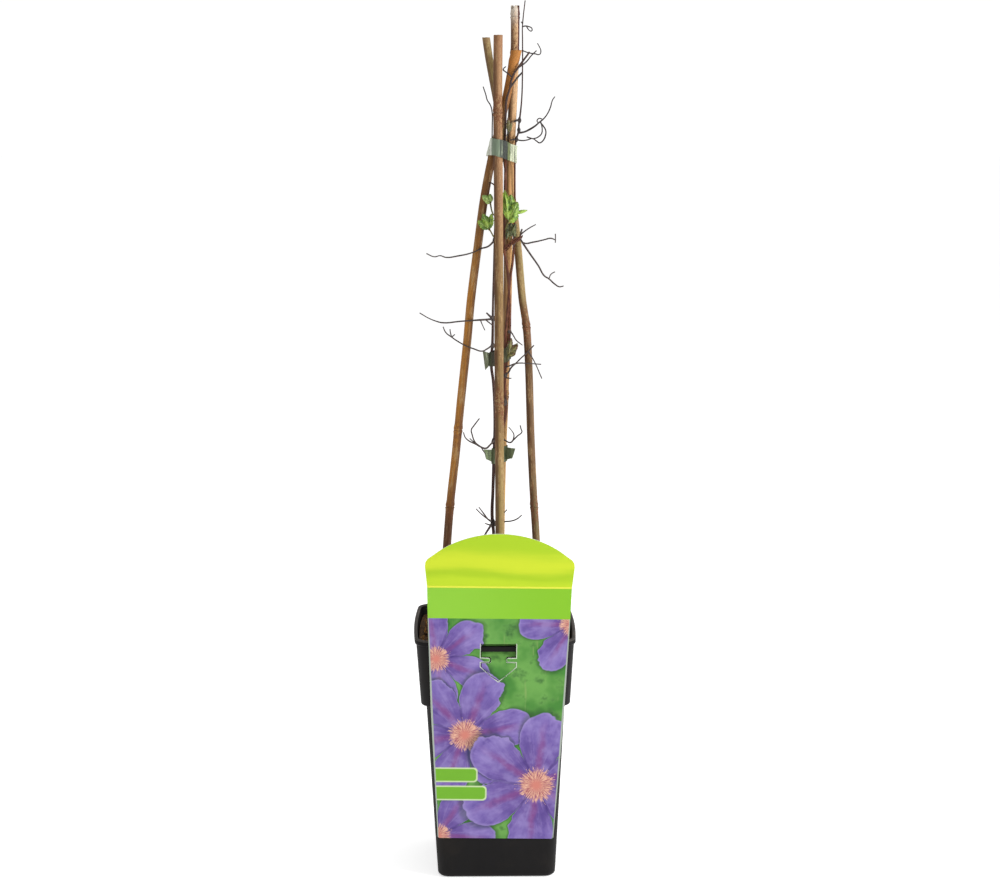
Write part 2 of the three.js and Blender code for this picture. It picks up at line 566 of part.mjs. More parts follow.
const TRUNK_SIDES = 6;
const TWIG_SIDES = 4;
const RINGS_PER_STEP = 1;
const RING_SPACING = 12;
const STEM_HOLE_PLAY = 0.15;

function limbBody({ route, from, to }, sides = TWIG_SIDES) {
  const curve = curveThrough(route);
  const spaced = Math.ceil(curve.getLength() / RING_SPACING);
  const rings = Math.max(Math.ceil(RINGS_PER_STEP * (route.length - 1)), spaced);
  const frames = curve.computeFrenetFrames(rings, false);
  const rod = new THREE.CylinderGeometry(1, 1, 1, sides, rings);
  return solid(moveVertices(rod, (x, y, z) => {
    const ring = Math.round((y + 0.5) * rings);
    const radius = THREE.MathUtils.lerp(from, to, ring / rings);
    const place = curve.getPointAt(ring / rings);
    place.addScaledVector(frames.binormals[ring], x * radius);
    place.addScaledVector(frames.normals[ring], z * radius);
    return place.toArray();
  }));
}

function knobBody([x, y, z, radius]) {
  const knob = new THREE.SphereGeometry(radius, 6, 4).rotateX(TURN / 4);
  return solid(knob.scale(1, 1, 1.25).translate(x, y, z));
}

function stemBody(stem) {
  const trunks = [limbBody(stem.trunk, TRUNK_SIDES)];
  if (stem.branch) trunks.push(limbBody(stem.branch, TRUNK_SIDES));
  return join([...trunks, ...stem.limbs.map((limb) => limbBody(limb)), ...stem.knobs.map(knobBody)]);
}

// Soil: fills the pot to its edge height, with a rough top and plain holes for the canes and the stems

const SOIL_RINGS = [0.96, 0.86, 0.71, 0.54, 0.37, 0.19];
const TONGUE_ROOM_DEPTH = 7.5;
const TONGUE_ROOM_HEIGHT = 20;

function soilRise(x, y) {
  const broad = 1.1 * Math.sin(0.09 * x + 1.3) * Math.cos(0.08 * y - 0.4);
  const fine = 0.8 * Math.sin(0.47 * x + 0.31 * y) * Math.cos(0.41 * y - 0.23 * x);
  return broad + fine;
}

function soilHole(curve, radius, foot) {
  const length = SOIL_TOP_Z + 12 - foot;
  const steps = 6;
  const rod = new THREE.CylinderGeometry(radius, radius, length, CANE_SIDES, steps);
  rod.translate(0, length / 2, 0);
  return solid(carryAlong(rod, curve, foot, length));
}

function soilBody() {
  const firstZ = FLOOR_TOP + GAP;
  const heights = [firstZ, BODY_TOP_Z + 0.5, COLLAR_Z + 3.5, SOIL_EDGE_Z];
  const levels = heights.map((z) => [z, cavityHalf(z) - GAP]);
  const edgeHalf = levels.at(-1)[1];
  const sideLevels = levels.length;
  for (const share of SOIL_RINGS) levels.push([SOIL_TOP_Z, share * edgeHalf]);
  const steps = levels.length - 1;
  const stack = new THREE.ExtrudeGeometry(roundedSquare(), { depth: steps, steps, bevelEnabled: false });
  const block = solid(moveVertices(stack, (x, y, level) => {
    const place = onSection(x, y, ...levels[Math.round(level)]);
    if (Math.round(level) >= sideLevels) place[2] += soilRise(place[0], place[1]);
    return place;
  }));
  const holes = Object.values(CANES).map((cane) => (
    soilHole(curveThrough(cane.path), cane.radius + GAP, cane.path[0][2] - GAP)));
  for (const { route, from } of [STEM_LEFT.trunk, STEM_RIGHT.trunk]) {
    holes.push(soilHole(curveThrough(route), from + GAP + STEM_HOLE_PLAY, route[0][2] - GAP));
  }
  const tongueRoom = new THREE.BoxGeometry(2 * SLOT_HALF, TONGUE_ROOM_DEPTH, TONGUE_ROOM_HEIGHT);
  tongueRoom.translate(LABEL_CENTRE_X, -cavityHalf(SLOT_LOW), SLOT_LOW - 2 + TONGUE_ROOM_HEIGHT / 2);
  holes.push(solid(tongueRoom));
  return holes.reduce((body, hole) => body.subtract(hole), block);
}

// Ties: a band on the shared hull of the rods that it holds, with loose tape ends

const BAND_SEGMENTS = 32;
const BAND_RADIUS = 8;
const END_HALF = 0.85;
const TIE_PLAY = 0.5;
const HELD = {
  trunk_left: STEM_LEFT.trunk,
  trunk_right: STEM_RIGHT.trunk,
  branch_right: STEM_RIGHT.branch,
  stalk_top_left: STALK_TOP_LEFT,
};

function heldRod(name) {
  if (CANES[name]) return { curve: curveThrough(CANES[name].path), radiusAt: () => CANES[name].radius };
  const { route, from, to } = HELD[name];
  const [low, high] = [route[0][2], route.at(-1)[2]];
  return { curve: curveThrough(route), radiusAt: (z) => THREE.MathUtils.mapLinear(z, low, high, from, to) };
}

function hullPoint(rods, bearing, z, offset) {
  const direction = new THREE.Vector2(Math.cos(bearing), Math.sin(bearing));
  let best = null;
  for (const { curve, radiusAt } of rods) {
    const centre = pointAtHeight(curve, z);
    const radius = radiusAt(z);
    const reach = centre.x * direction.x + centre.y * direction.y + radius;
    if (!best || reach > best.reach) best = { centre, radius, reach };
  }
  const out = best.radius + offset;
  return new THREE.Vector3(best.centre.x + direction.x * out, best.centre.y + direction.y * out, z);
}

function bandHeight(tie, bearing, level) {
  return tie.middle + tie.slope * BAND_RADIUS * Math.cos(bearing) + level * tie.half;
}

function tieBody(tie) {
  const rods = tie.around.map(heldRod);
  const profile = [[1, -1], [2, -1], [2, 1], [1, 1], [1, -1]].map((corner) => new THREE.Vector2(...corner));
  const ring = new THREE.LatheGeometry(profile, BAND_SEGMENTS);
  const band = moveVertices(ring, (x, level, z) => {
    const bearing = Math.atan2(-z, x);
    const outside = Math.hypot(x, z) > 1.5;
    const height = bandHeight(tie, bearing, level);
    return hullPoint(rods, bearing, height, outside ? TIE_PLAY + TAPE : TIE_PLAY).toArray();
  });
  const ends = tie.ends.map(({ bearing, reach }) => {
    const angle = THREE.MathUtils.degToRad(bearing);
    const root = [-END_HALF, END_HALF].map((level) => (
      hullPoint(rods, angle, bandHeight(tie, angle, level), TIE_PLAY + TAPE / 2)));
    return sheetBetween([...root, ...reach.map((corner) => new THREE.Vector3(...corner))]);
  });
  return join([solid(band), ...ends]);
}

// Thin sheets: both faces share one grid, and a rim closes them

function thickSheet(across, along, thickness, place) {
  const sheet = new THREE.PlaneGeometry(1, 1, across, along);
  moveVertices(sheet, (x, y) => place(x + 0.5, y + 0.5).toArray());
  sheet.computeVertexNormals();
  const { position, normal } = sheet.attributes;
  const count = position.count;
  const points = [];
  for (const side of [0.5, -0.5]) {
    for (let i = 0; i < count; i++) {
      const point = new THREE.Vector3().fromBufferAttribute(position, i);
      const outward = new THREE.Vector3().fromBufferAttribute(normal, i);
      points.push(...point.addScaledVector(outward, side * thickness));
    }
  }
  const front = Array.from(sheet.index.array);
  const faces = [...front];
  for (let i = 0; i < front.length; i += 3) {
    faces.push(count + front[i], count + front[i + 2], count + front[i + 1]);
  }
  const at = (column, row) => row * (across + 1) + column;
  const rim = [];
  for (let row = 0; row < along; row++) rim.push(at(0, row));
  for (let column = 0; column < across; column++) rim.push(at(column, along));
  for (let row = along; row > 0; row--) rim.push(at(across, row));
  for (let column = across; column > 0; column--) rim.push(at(column, 0));
  rim.forEach((here, i) => {
    const next = rim[(i + 1) % rim.length];
    faces.push(here, count + here, count + next, here, count + next, next);
  });
  const closed = new THREE.BufferGeometry();
  closed.setAttribute('position', new THREE.Float32BufferAttribute(points, 3));
  closed.setIndex(faces);
  return solid(closed);
}

function sheetBetween([rootLow, rootHigh, endLow, endHigh]) {
  return thickSheet(3, 2, TAPE, (u, v) => {
    const low = new THREE.Vector3().lerpVectors(rootLow, endLow, u);
    const high = new THREE.Vector3().lerpVectors(rootHigh, endHigh, u);
    const point = low.lerp(high, v);
    point.y += 0.5 * Math.sin(TURN * 0.6 * u) * (v - 0.3);
    return point;
  });
}

// Leaflets: folded along the midrib, arched, with a toothed edge. Where leaflets cross they can close off a
// small hollow, so a spray keeps only its outer shell.

const LEAF_ROWS = 6;
const LEAF_COLUMNS = 2;
const TOOTH_DEPTH = 0.24;
const JOINT_RADIUS = 1;

function leafletBody({ base, tip, width, fold }) {
  const start = new THREE.Vector3(...base);
  const along = new THREE.Vector3(...tip).sub(start);
  const length = along.length();
  along.normalize();
  const side = new THREE.Vector3().crossVectors(along, new THREE.Vector3(0, 1, 0)).normalize();
  const face = new THREE.Vector3().crossVectors(side, along);
  return thickSheet(LEAF_COLUMNS, LEAF_ROWS, LEAF_THICKNESS, (u, v) => {
    const across = 2 * u - 1;
    const row = Math.round(v * LEAF_ROWS);
    const tooth = row % 2 === 1 || row === LEAF_ROWS ? 0 : TOOTH_DEPTH;
    const outline = 0.14 + 0.86 * Math.sin(Math.PI * Math.pow(v, 0.8)) ** 0.8;
    const half = width / 2 * (v === 1 ? 0.1 : outline * (1 - tooth * Math.abs(across)));
    const point = start.clone().addScaledVector(along, v * length);
    point.addScaledVector(side, -across * half);
    return point.addScaledVector(face, fold * Math.abs(across) * outline - 0.9 * Math.sin(Math.PI * v));
  });
}

function sprayBody({ stalk, leaflets }) {
  const joint = knobBody([...leaflets[0].base, JOINT_RADIUS]);
  const whole = join([limbBody({ route: stalk, from: 0.55, to: 0.7 }), joint, ...leaflets.map(leafletBody)]);
  return whole.decompose().reduce((largest, part) => (part.volume() > largest.volume() ? part : largest));
}

// Label: an arched plate, leaned and rolled in place. Its tongue is hinged above the window, goes back over
// the rim, comes out again through the slot, and ends in an arrow that locks behind two barbs.

function labelOutline() {
  const [bottom, bottomHalf] = LABEL_WIDTHS[0];
  const shoulderHalf = LABEL_WIDTHS.at(-1)[1];
  const outline = new THREE.Shape();
  outline.moveTo(-bottomHalf + 1, bottom);
  outline.lineTo(bottomHalf - 1, bottom);
  outline.quadraticCurveTo(bottomHalf, bottom, bottomHalf, bottom + 1);
  for (const [height, half] of LABEL_WIDTHS.slice(1)) outline.lineTo(half, height);
  outline.quadraticCurveTo(shoulderHalf, LABEL_SHOULDER + 5, shoulderHalf - 5, LABEL_SHOULDER + 7);
  outline.bezierCurveTo(32, LABEL_APEX - 6, 18, LABEL_APEX, 0, LABEL_APEX);
  outline.bezierCurveTo(-18, LABEL_APEX, -32, LABEL_APEX - 6, -shoulderHalf + 5, LABEL_SHOULDER + 7);
  outline.quadraticCurveTo(-shoulderHalf, LABEL_SHOULDER + 5, -shoulderHalf, LABEL_SHOULDER);
  for (const [height, half] of LABEL_WIDTHS.slice(1, -1).reverse()) outline.lineTo(-half, height);
  outline.lineTo(-bottomHalf, bottom + 1);
  outline.quadraticCurveTo(-bottomHalf, bottom, -bottomHalf + 1, bottom);
  return outline;
}

function arrowOutline(inset, top) {
  const half = WINDOW_HALF - inset;
  const neck = WINDOW_HALF - BARB_REACH - inset;
  const right = [
    [half, top],
    [half, WINDOW_BOTTOM + inset],
    [neck + 0.8, WINDOW_BOTTOM + inset - 0.2],
    [neck, WINDOW_BOTTOM + inset - 1.2],
    [neck, ARROW_TOP - inset + 1.2],
    [neck + 0.8, ARROW_TOP - inset + 0.2],
    [half, ARROW_TOP - inset],
    [half, ARROW_SHOULDER],
    [half * 0.45, (ARROW_SHOULDER + ARROW_TIP) / 2 - 1.6 + inset],
    [0, ARROW_TIP + 1.4 * inset],
  ];
  const left = right.slice(0, -1).reverse().map(([x, height]) => [-x, height]);
  return new THREE.Shape([...right, ...left].map(([x, height]) => new THREE.Vector2(x, height)));
}

function standingPlate(shape, backY, thickness) {
  const plate = new THREE.ExtrudeGeometry(shape, { depth: thickness, bevelEnabled: false, curveSegments: 8 });
  return plate.rotateX(TURN / 4).translate(0, backY, 0);
}

function leaned(geometry) {
  geometry.translate(0, -LABEL_BACK_Y, -LABEL_HANG_Z);
  geometry.rotateY(LABEL_ROLL).rotateX(LABEL_LEAN);
  return geometry.translate(LABEL_CENTRE_X, LABEL_BACK_Y, LABEL_HANG_Z);
}

function tongueBody() {
  const middleY = LABEL_BACK_Y - LABEL_THICKNESS / 2;
  const leanAt = (height) => middleY + (LABEL_HANG_Z - height) * Math.tan(LABEL_LEAN);
  const bends = [
    [leanAt(WINDOW_TOP + 2), WINDOW_TOP + 2],
    [leanAt(WINDOW_TOP), WINDOW_TOP],
    [TONGUE_BEHIND_Y, NOTCH_FLOOR + 0.9],
    [TONGUE_BEHIND_Y, SLOT_HIGH - 0.8],
    [leanAt(SLOT_LOW + 0.6), SLOT_LOW + 0.6],
    [leanAt(ARROW_TIP - 2), ARROW_TIP - 2],
  ].map(([y, z]) => new THREE.Vector2(y, z));
  const outline = [];
  for (const side of [0.5, -0.5]) {
    const edge = bends.map((bend, i) => {
      const before = bends[Math.max(i - 1, 0)];
      const after = bends[Math.min(i + 1, bends.length - 1)];
      const into = bend.clone().sub(before).normalize();
      const out = after.clone().sub(bend).normalize();
      const along = into.add(out).normalize();
      const spread = i > 0 && i < bends.length - 1 ? 1 / along.dot(out) : 1;
      const across = new THREE.Vector2(along.y, -along.x);
      return bend.clone().addScaledVector(across, side * spread * LABEL_THICKNESS);
    });
    outline.push(...(side > 0 ? edge : edge.reverse()));
  }
  const settings = { depth: 2 * WINDOW_HALF, bevelEnabled: false };
  const strip = new THREE.ExtrudeGeometry(new THREE.Shape(outline), settings);
  moveVertices(strip, (y, z, x) => [x + LABEL_CENTRE_X - WINDOW_HALF, y, z]);
  const cutter = standingPlate(arrowOutline(TONGUE_CLEARANCE, WINDOW_TOP + 1), -40, 40);
  cutter.translate(LABEL_CENTRE_X, 0, 0);
  return solid(strip).intersect(solid(cutter));
}

function labelBody() {
  const plate = solid(leaned(standingPlate(labelOutline(), LABEL_BACK_Y, LABEL_THICKNESS)));
  const opening = leaned(standingPlate(arrowOutline(0, WINDOW_TOP), LABEL_BACK_Y + 5, 10 + LABEL_THICKNESS));
  return plate.subtract(solid(opening)).add(tongueBody());
}

// Assembly

const plant = new THREE.Group();
plant.add(piece('pot', potBody(), 0x221f20, 0.5));
plant.add(piece('soil', soilBody(), 0x372b1d, 0.95));
for (const [name, cane] of Object.entries(CANES)) plant.add(piece(name, caneBody(cane), cane.colour, 0.55));
for (const [name, tie] of Object.entries(TIES)) plant.add(piece(name, tieBody(tie), tie.colour, 0.4));
plant.add(piece('stem_left', stemBody(STEM_LEFT), 0x554339, 0.8));
plant.add(piece('stem_right', stemBody(STEM_RIGHT), 0x554339, 0.8));
plant.add(piece('stalk_top_left', limbBody(STALK_TOP_LEFT), 0x4a4038, 0.8));
for (const [name, spray] of Object.entries(SPRAYS)) {
  plant.add(piece(name, sprayBody(spray), spray.colour, 0.6));
}
plant.add(piece('label', labelBody(), 0xaccf3c, 0.3));

export default plant;
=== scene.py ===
# %% [markdown]
# # A young clematis in its square nursery pot
# A climber is sold as it grew: two thin woody stems in a tall plastic pot, four bamboo canes that lean
# together, three tape ties, a few leaves and a printed label on the rim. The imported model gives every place
# and size, so it is loaded first. Here each part gets the form and the finish that the eye looks for.

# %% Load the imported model
import contextlib
import math
import random

import bmesh
import bpy
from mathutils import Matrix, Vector, noise


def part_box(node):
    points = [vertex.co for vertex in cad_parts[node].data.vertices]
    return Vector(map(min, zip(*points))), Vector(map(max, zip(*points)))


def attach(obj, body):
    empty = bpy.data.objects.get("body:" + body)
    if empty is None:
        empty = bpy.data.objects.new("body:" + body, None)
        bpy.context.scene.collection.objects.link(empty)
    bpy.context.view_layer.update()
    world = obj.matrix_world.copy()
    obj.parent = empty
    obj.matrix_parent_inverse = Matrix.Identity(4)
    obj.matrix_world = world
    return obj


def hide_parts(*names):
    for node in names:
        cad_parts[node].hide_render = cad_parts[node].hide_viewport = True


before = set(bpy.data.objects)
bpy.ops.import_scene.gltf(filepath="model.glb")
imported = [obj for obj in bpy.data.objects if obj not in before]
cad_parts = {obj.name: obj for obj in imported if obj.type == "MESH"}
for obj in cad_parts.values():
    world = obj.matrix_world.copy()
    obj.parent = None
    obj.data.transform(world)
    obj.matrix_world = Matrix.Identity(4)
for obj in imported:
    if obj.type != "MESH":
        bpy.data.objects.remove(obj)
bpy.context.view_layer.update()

MM = 0.001
print("packed nodes:", ", ".join(sorted(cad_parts)))

# %% [markdown]
# ## Camera
# The photograph was taken from a little above the middle of the plant, straight at the label, through a
# long lens. The lens and the place were worked out from the pot's edges: the rim, the collar and the base
# all have to fall on their lines in the picture, which leaves one camera that fits.

# %% Place the camera
CAMERA_PLACE = (-0.02036, -1.49987, 0.5710)
CAMERA_PITCH, CAMERA_YAW = 80.9, -0.9
LENS = 72.25

bpy.ops.object.camera_add(location=CAMERA_PLACE)
camera = bpy.context.object
camera.rotation_euler = (math.radians(CAMERA_PITCH), 0, math.radians(CAMERA_YAW))
camera.data.lens = LENS
bpy.context.scene.camera = camera
print("camera at", CAMERA_PLACE, "with a lens of", LENS, "mm")

# %% [markdown]
# ## Working by hand, from a script
# Every piece below starts as a primitive, is shaped in edit mode and finished with modifiers. These few
# helpers stand for the hand: one picks a piece, one opens it for editing, one selects by place, one
# extrudes a ring and one applies a modifier.

# %% Helpers for picking, editing and extruding
def pick(piece):
    """Makes this the only selected piece, and the active one."""
    bpy.ops.object.select_all(action="DESELECT")
    piece.select_set(True)
    bpy.context.view_layer.objects.active = piece


@contextlib.contextmanager
def editing(piece, kind="VERT"):
    """Edit mode on one piece, and back again."""
    pick(piece)
    bpy.ops.object.mode_set(mode="EDIT")
    bpy.ops.mesh.select_mode(type=kind)
    yield
    bpy.ops.object.mode_set(mode="OBJECT")


def choose(test, kind="faces"):
    """Selects the faces, edges or verts of the mesh in edit mode that pass a test."""
    bpy.ops.mesh.select_all(action="DESELECT")
    mesh = bpy.context.edit_object.data
    shape = bmesh.from_edit_mesh(mesh)
    for part in getattr(shape, kind):
        if test(part):
            part.select_set(True)
    bmesh.update_edit_mesh(mesh)


def extrude(move, share, centre):
    """Extrudes what is selected, then scales the new ring about its own centre."""
    bpy.ops.mesh.extrude_region_move(TRANSFORM_OT_translate={"value": move})
    bpy.ops.transform.resize(value=(share, share, 1), center_override=centre)


def modify(piece, kind, **settings):
    """Adds one modifier with its settings and applies it."""
    pick(piece)
    modifier = piece.modifiers.new(kind.title(), kind)
    for key, value in settings.items():
        setattr(modifier, key, value)
    bpy.ops.object.modifier_apply(modifier=modifier.name)


def outwards(piece):
    """Merges doubles and turns every face outwards."""
    with editing(piece):
        bpy.ops.mesh.select_all(action="SELECT")
        bpy.ops.mesh.remove_doubles(threshold=0.01 * MM)
        bpy.ops.mesh.normals_make_consistent(inside=False)


def merge(pieces, name):
    """Joins several objects into one."""
    bpy.ops.object.select_all(action="DESELECT")
    for piece in pieces:
        piece.select_set(True)
    bpy.context.view_layer.objects.active = pieces[0]
    bpy.ops.object.join()
    pieces[0].name = name
    return pieces[0]


def hand_over(piece, name, slot, finishes, nodes, smooth=40):
    """The last step of every piece: its place goes into the mesh, and it stands for its nodes."""
    pick(piece)
    piece.name = name
    bpy.ops.object.transform_apply(location=True, rotation=True, scale=True)
    bpy.ops.object.shade_smooth_by_angle(angle=math.radians(smooth))
    if finishes:
        piece.data.materials.clear()
        for finish in finishes:
            piece.data.materials.append(finish)
    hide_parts(*nodes)
    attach(piece, "root")
    print(name, "has", len(piece.data.polygons), "faces")


def lay_attribute(piece, name, rule):
    """Stores a vector for each point, for a finish to read."""
    layer = piece.data.attributes.new(name, "FLOAT_VECTOR", "POINT")
    for point, entry in zip(piece.data.vertices, layer.data):
        entry.vector = rule(point.co)


# %% [markdown]
# ## Mixing finishes
# A finish is a small sum: a streak times a tint, one minus a mask. Written as sums, a finish can be read,
# so one class wraps the output of a node and turns Python's own signs into Math nodes. Colours go through
# Mix nodes.

# %% Helpers for mixing finishes
def paint(red, green, blue):
    """A colour as a painter reads it off a screen, 0 to 255, for a socket that wants linear light."""
    shares = [channel / 255 for channel in (red, green, blue)]
    return (*[s / 12.92 if s <= 0.04045 else ((s + 0.055) / 1.055) ** 2.4 for s in shares], 1)


class Wire:
    """The output of a node, which can be added, multiplied and compared like a number."""

    def __init__(self, finish, socket):
        self.finish = finish
        self.socket = socket

    def maths(self, operation, *others):
        values = dict(enumerate((self, *others)))
        return self.finish.node("ShaderNodeMath", {"operation": operation}, values)

    def __add__(self, other):
        return self.maths("ADD", other)

    def __sub__(self, other):
        return self.maths("SUBTRACT", other)

    def __rsub__(self, other):
        return (self * -1) + other

    def __mul__(self, other):
        return self.maths("MULTIPLY", other)

    def __pow__(self, other):
        return self.maths("POWER", other)

    def __lt__(self, other):
        return self.maths("LESS_THAN", other)

    def __gt__(self, other):
        return self.maths("GREATER_THAN", other)

    __radd__ = __add__
    __rmul__ = __mul__

    def rise(self, low, high):
        """0 below low, 1 above high, and a soft step between them."""
        settings = {"interpolation_type": "SMOOTHSTEP"}
        ends = {"Value": self, "From Min": low, "From Max": high}
        return self.finish.node("ShaderNodeMapRange", settings, ends)


class Finish:
    """A material under construction."""

    def __init__(self, name):
        self.material = bpy.data.materials.new(name)
        self.material.use_nodes = True
        self.tree = self.material.node_tree
        self.shader = self.tree.nodes["Principled BSDF"]

    def node(self, kind, settings=None, inputs=None, output=0):
        """Adds a node: its settings first, then the values or wires of its sockets."""
        made = self.tree.nodes.new(kind)
        for key, value in (settings or {}).items():
            setattr(made, key, value)
        self.connect(made, inputs or {})
        return Wire(self, made.outputs[output])

    def connect(self, node, inputs):
        for key, value in inputs.items():
            if isinstance(value, Wire):
                self.tree.links.new(value.socket, node.inputs[key])
            else:
                node.inputs[key].default_value = value

    def place(self, attribute=None):
        """Where on the piece a point is: its Object coordinates, or a stored attribute."""
        if attribute:
            return self.node("ShaderNodeAttribute", {"attribute_name": attribute}, output="Vector")
        return self.node("ShaderNodeTexCoord", output="Object")

    def parts(self, vector):
        """The x, y and z of a vector, as three wires."""
        split = self.node("ShaderNodeSeparateXYZ", {}, {0: vector})
        outputs = split.socket.node.outputs
        return [Wire(self, output) for output in outputs]

    def stretched(self, vector, scale):
        """The same place on another scale along each axis, which draws a pattern out."""
        return self.node("ShaderNodeMapping", {}, {"Vector": vector, "Scale": scale})

    def speckle(self, vector, scale, detail=4, roughness=0.6):
        """Fractal noise from 0 to 1."""
        inputs = {"Vector": vector, "Scale": scale, "Detail": detail, "Roughness": roughness}
        return self.node("ShaderNodeTexNoise", {}, inputs)

    def blend(self, mask, under, over):
        """One colour over another, where the mask is 1."""
        settings = {"data_type": "RGBA", "clamp_factor": True}
        return self.node("ShaderNodeMix", settings, {0: mask, 6: under, 7: over}, output=2)

    def layers(self, colour, *tints):
        """Lays tints over a colour one by one, each given as its mask and its paint."""
        for mask, tint in tints:
            colour = self.blend(mask, colour, tint)
        return colour

    def flat(self, across, along):
        """Two wires as one vector, for a pattern on a flat sheet."""
        return self.node("ShaderNodeCombineXYZ", {}, {0: across, 1: along})

    def bump(self, height, strength, distance):
        inputs = {"Height": height, "Strength": strength, "Distance": distance}
        return self.node("ShaderNodeBump", {}, inputs)

    def surface(self, **inputs):
        """Plugs the last values into the shader, whose sockets are named with underscores here."""
        self.connect(self.shader, {key.replace("_", " "): value for key, value in inputs.items()})
        return self.material


# %% [markdown]
# ## Pot: black moulded plastic
# Growers' pots are injection moulded, so the walls are thin, tapered and slightly bowed, with a wider
# collar that stiffens the top and lets pots nest. One rounded square, extruded ring by ring up the outside,
# over the rim and down the inside, gives the whole pot as one wall, as the mould does. Bowing the sides
# comes last.

# %% Sizes of the pot
RIM_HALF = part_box("pot")[1].y / MM - 0.03
POT_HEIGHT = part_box("pot")[1].z / MM
BASE_HALF = 44.8
COLLAR_Z = 137.5
COLLAR_LOW_HALF = 57
COLLAR_TOP_HALF = 60.3
RIM_DEPTH = 4.5
LIP = 2.6
WALL = 1.8
FLOOR_TOP = 5
FOOT_WIDTH = 6
FOOT_HEIGHT = 3
SIDE_BULGE = 2.4
POT_LEAN = 1.1
CORNER_SHARE = 0.17
CORNER_SEGMENTS = 7
SIDE_CUTS = 9
CORNER_POWER = 14
OUTSIDE = [
    (0, BASE_HALF - 3.6), (0.8, BASE_HALF - 1.6), (2, BASE_HALF - 0.5), (3.5, BASE_HALF),
    (COLLAR_Z - 2, 52.9), (COLLAR_Z, 53.4), (COLLAR_Z + 0.1, COLLAR_LOW_HALF - 1.2),
    (COLLAR_Z + 0.5, COLLAR_LOW_HALF - 0.4),
    (COLLAR_Z + 1.4, COLLAR_LOW_HALF), (POT_HEIGHT - RIM_DEPTH, COLLAR_TOP_HALF),
    (POT_HEIGHT - RIM_DEPTH + 0.3, RIM_HALF - 0.5), (POT_HEIGHT - RIM_DEPTH + 0.9, RIM_HALF),
    (POT_HEIGHT - 0.9, RIM_HALF), (POT_HEIGHT - 0.3, RIM_HALF - 0.3), (POT_HEIGHT, RIM_HALF - 0.9),
]
INSIDE = [
    (POT_HEIGHT, RIM_HALF - LIP + 0.6), (POT_HEIGHT - 0.5, RIM_HALF - LIP), (COLLAR_Z + 3.5, 55.2),
    (COLLAR_Z - 1, 51.1), (FLOOR_TOP + 1.5, BASE_HALF - WALL), (FLOOR_TOP, BASE_HALF - WALL - 1.5),
]


def square_reach(x, y):
    """How far out a point lies on a square whose corners are a little round."""
    return (abs(x) ** CORNER_POWER + abs(y) ** CORNER_POWER) ** (1 / CORNER_POWER) or 1


def bow_sides(piece):
    """Lets each side swell outwards in its middle, more so near the top, and leans the soft pot a little."""
    for point in piece.data.vertices:
        x, y, z = point.co
        half = square_reach(x, y)
        share = z / (POT_HEIGHT * MM)
        slack = SIDE_BULGE * share / RIM_HALF
        bowed_x = x * (1 - slack * (y / half) ** 2) - POT_LEAN * share * MM
        point.co = (bowed_x, y * (1 - slack * (x / half) ** 2), z)


def cut_with(piece, cutter):
    """Cuts one object out of a piece, and deletes it."""
    modify(piece, "BOOLEAN", object=cutter, operation="DIFFERENCE", solver="EXACT")
    bpy.data.objects.remove(cutter)


# %% Model the pot
def rounded_square(half, height):
    """A flat square with round corners, whose sides have points enough to bow."""
    bpy.ops.mesh.primitive_plane_add(size=2 * half * MM, location=(0, 0, height * MM))
    piece = bpy.context.object
    with editing(piece):
        bpy.ops.mesh.select_all(action="SELECT")
        bpy.ops.mesh.bevel(offset=CORNER_SHARE * half * MM, segments=CORNER_SEGMENTS, affect="VERTICES")
        choose(lambda edge: edge.calc_length() > half * MM, "edges")
        bpy.ops.mesh.subdivide(number_cuts=SIDE_CUTS)
    return piece


def climb(rings):
    """Extrudes the selected ring through a list of heights and half widths."""
    for (last_z, last_half), (z, half) in zip(rings, rings[1:]):
        extrude((0, 0, (z - last_z) * MM), half / last_half, (0, 0, z * MM))


def is_underside(face):
    """True for the one many-sided face that the first square left on the ground."""
    return face.calc_center_median().z < 0.1 * MM and abs(face.normal.z) > 0.9 and len(face.verts) > 4


pot = rounded_square(OUTSIDE[0][1], OUTSIDE[0][0])
pick(pot)
bpy.ops.object.transform_apply(location=True)
with editing(pot, "FACE"):
    bpy.ops.mesh.select_all(action="SELECT")
    climb(OUTSIDE + INSIDE)
    choose(is_underside)
    recess = BASE_HALF - FOOT_WIDTH
    climb([OUTSIDE[0], (0, recess), (FOOT_HEIGHT, recess)])
outwards(pot)
bow_sides(pot)

# %% [markdown]
# The label hangs on the rim by its own tongue, so the rim has a shallow notch and the wall a slot below it.
# Water leaves through a ring of round holes in the floor. A hole through a finished wall is a boolean's
# job: a block or a cylinder is set across the wall and cut out.

# %% Cut the label slot, the rim notch and the drain holes
LABEL_X = 1.2
SLOT_HALF = 15
SLOT_HEIGHTS = (174.6, 181.4)
NOTCH_HEIGHTS = (185.6, POT_HEIGHT + 5)
CUT_DEPTH = 12
DRAIN_COUNT, DRAIN_RING, DRAIN_RADIUS, DRAIN_DEPTH = 8, 29, 4.5, 15


def cut_block(piece, y, z, size):
    """Cuts a block out of a piece, on the label's centre line."""
    bpy.ops.mesh.primitive_cube_add(size=MM, location=Vector((LABEL_X, y, z)) * MM)
    block = bpy.context.object
    block.scale = size
    cut_with(piece, block)


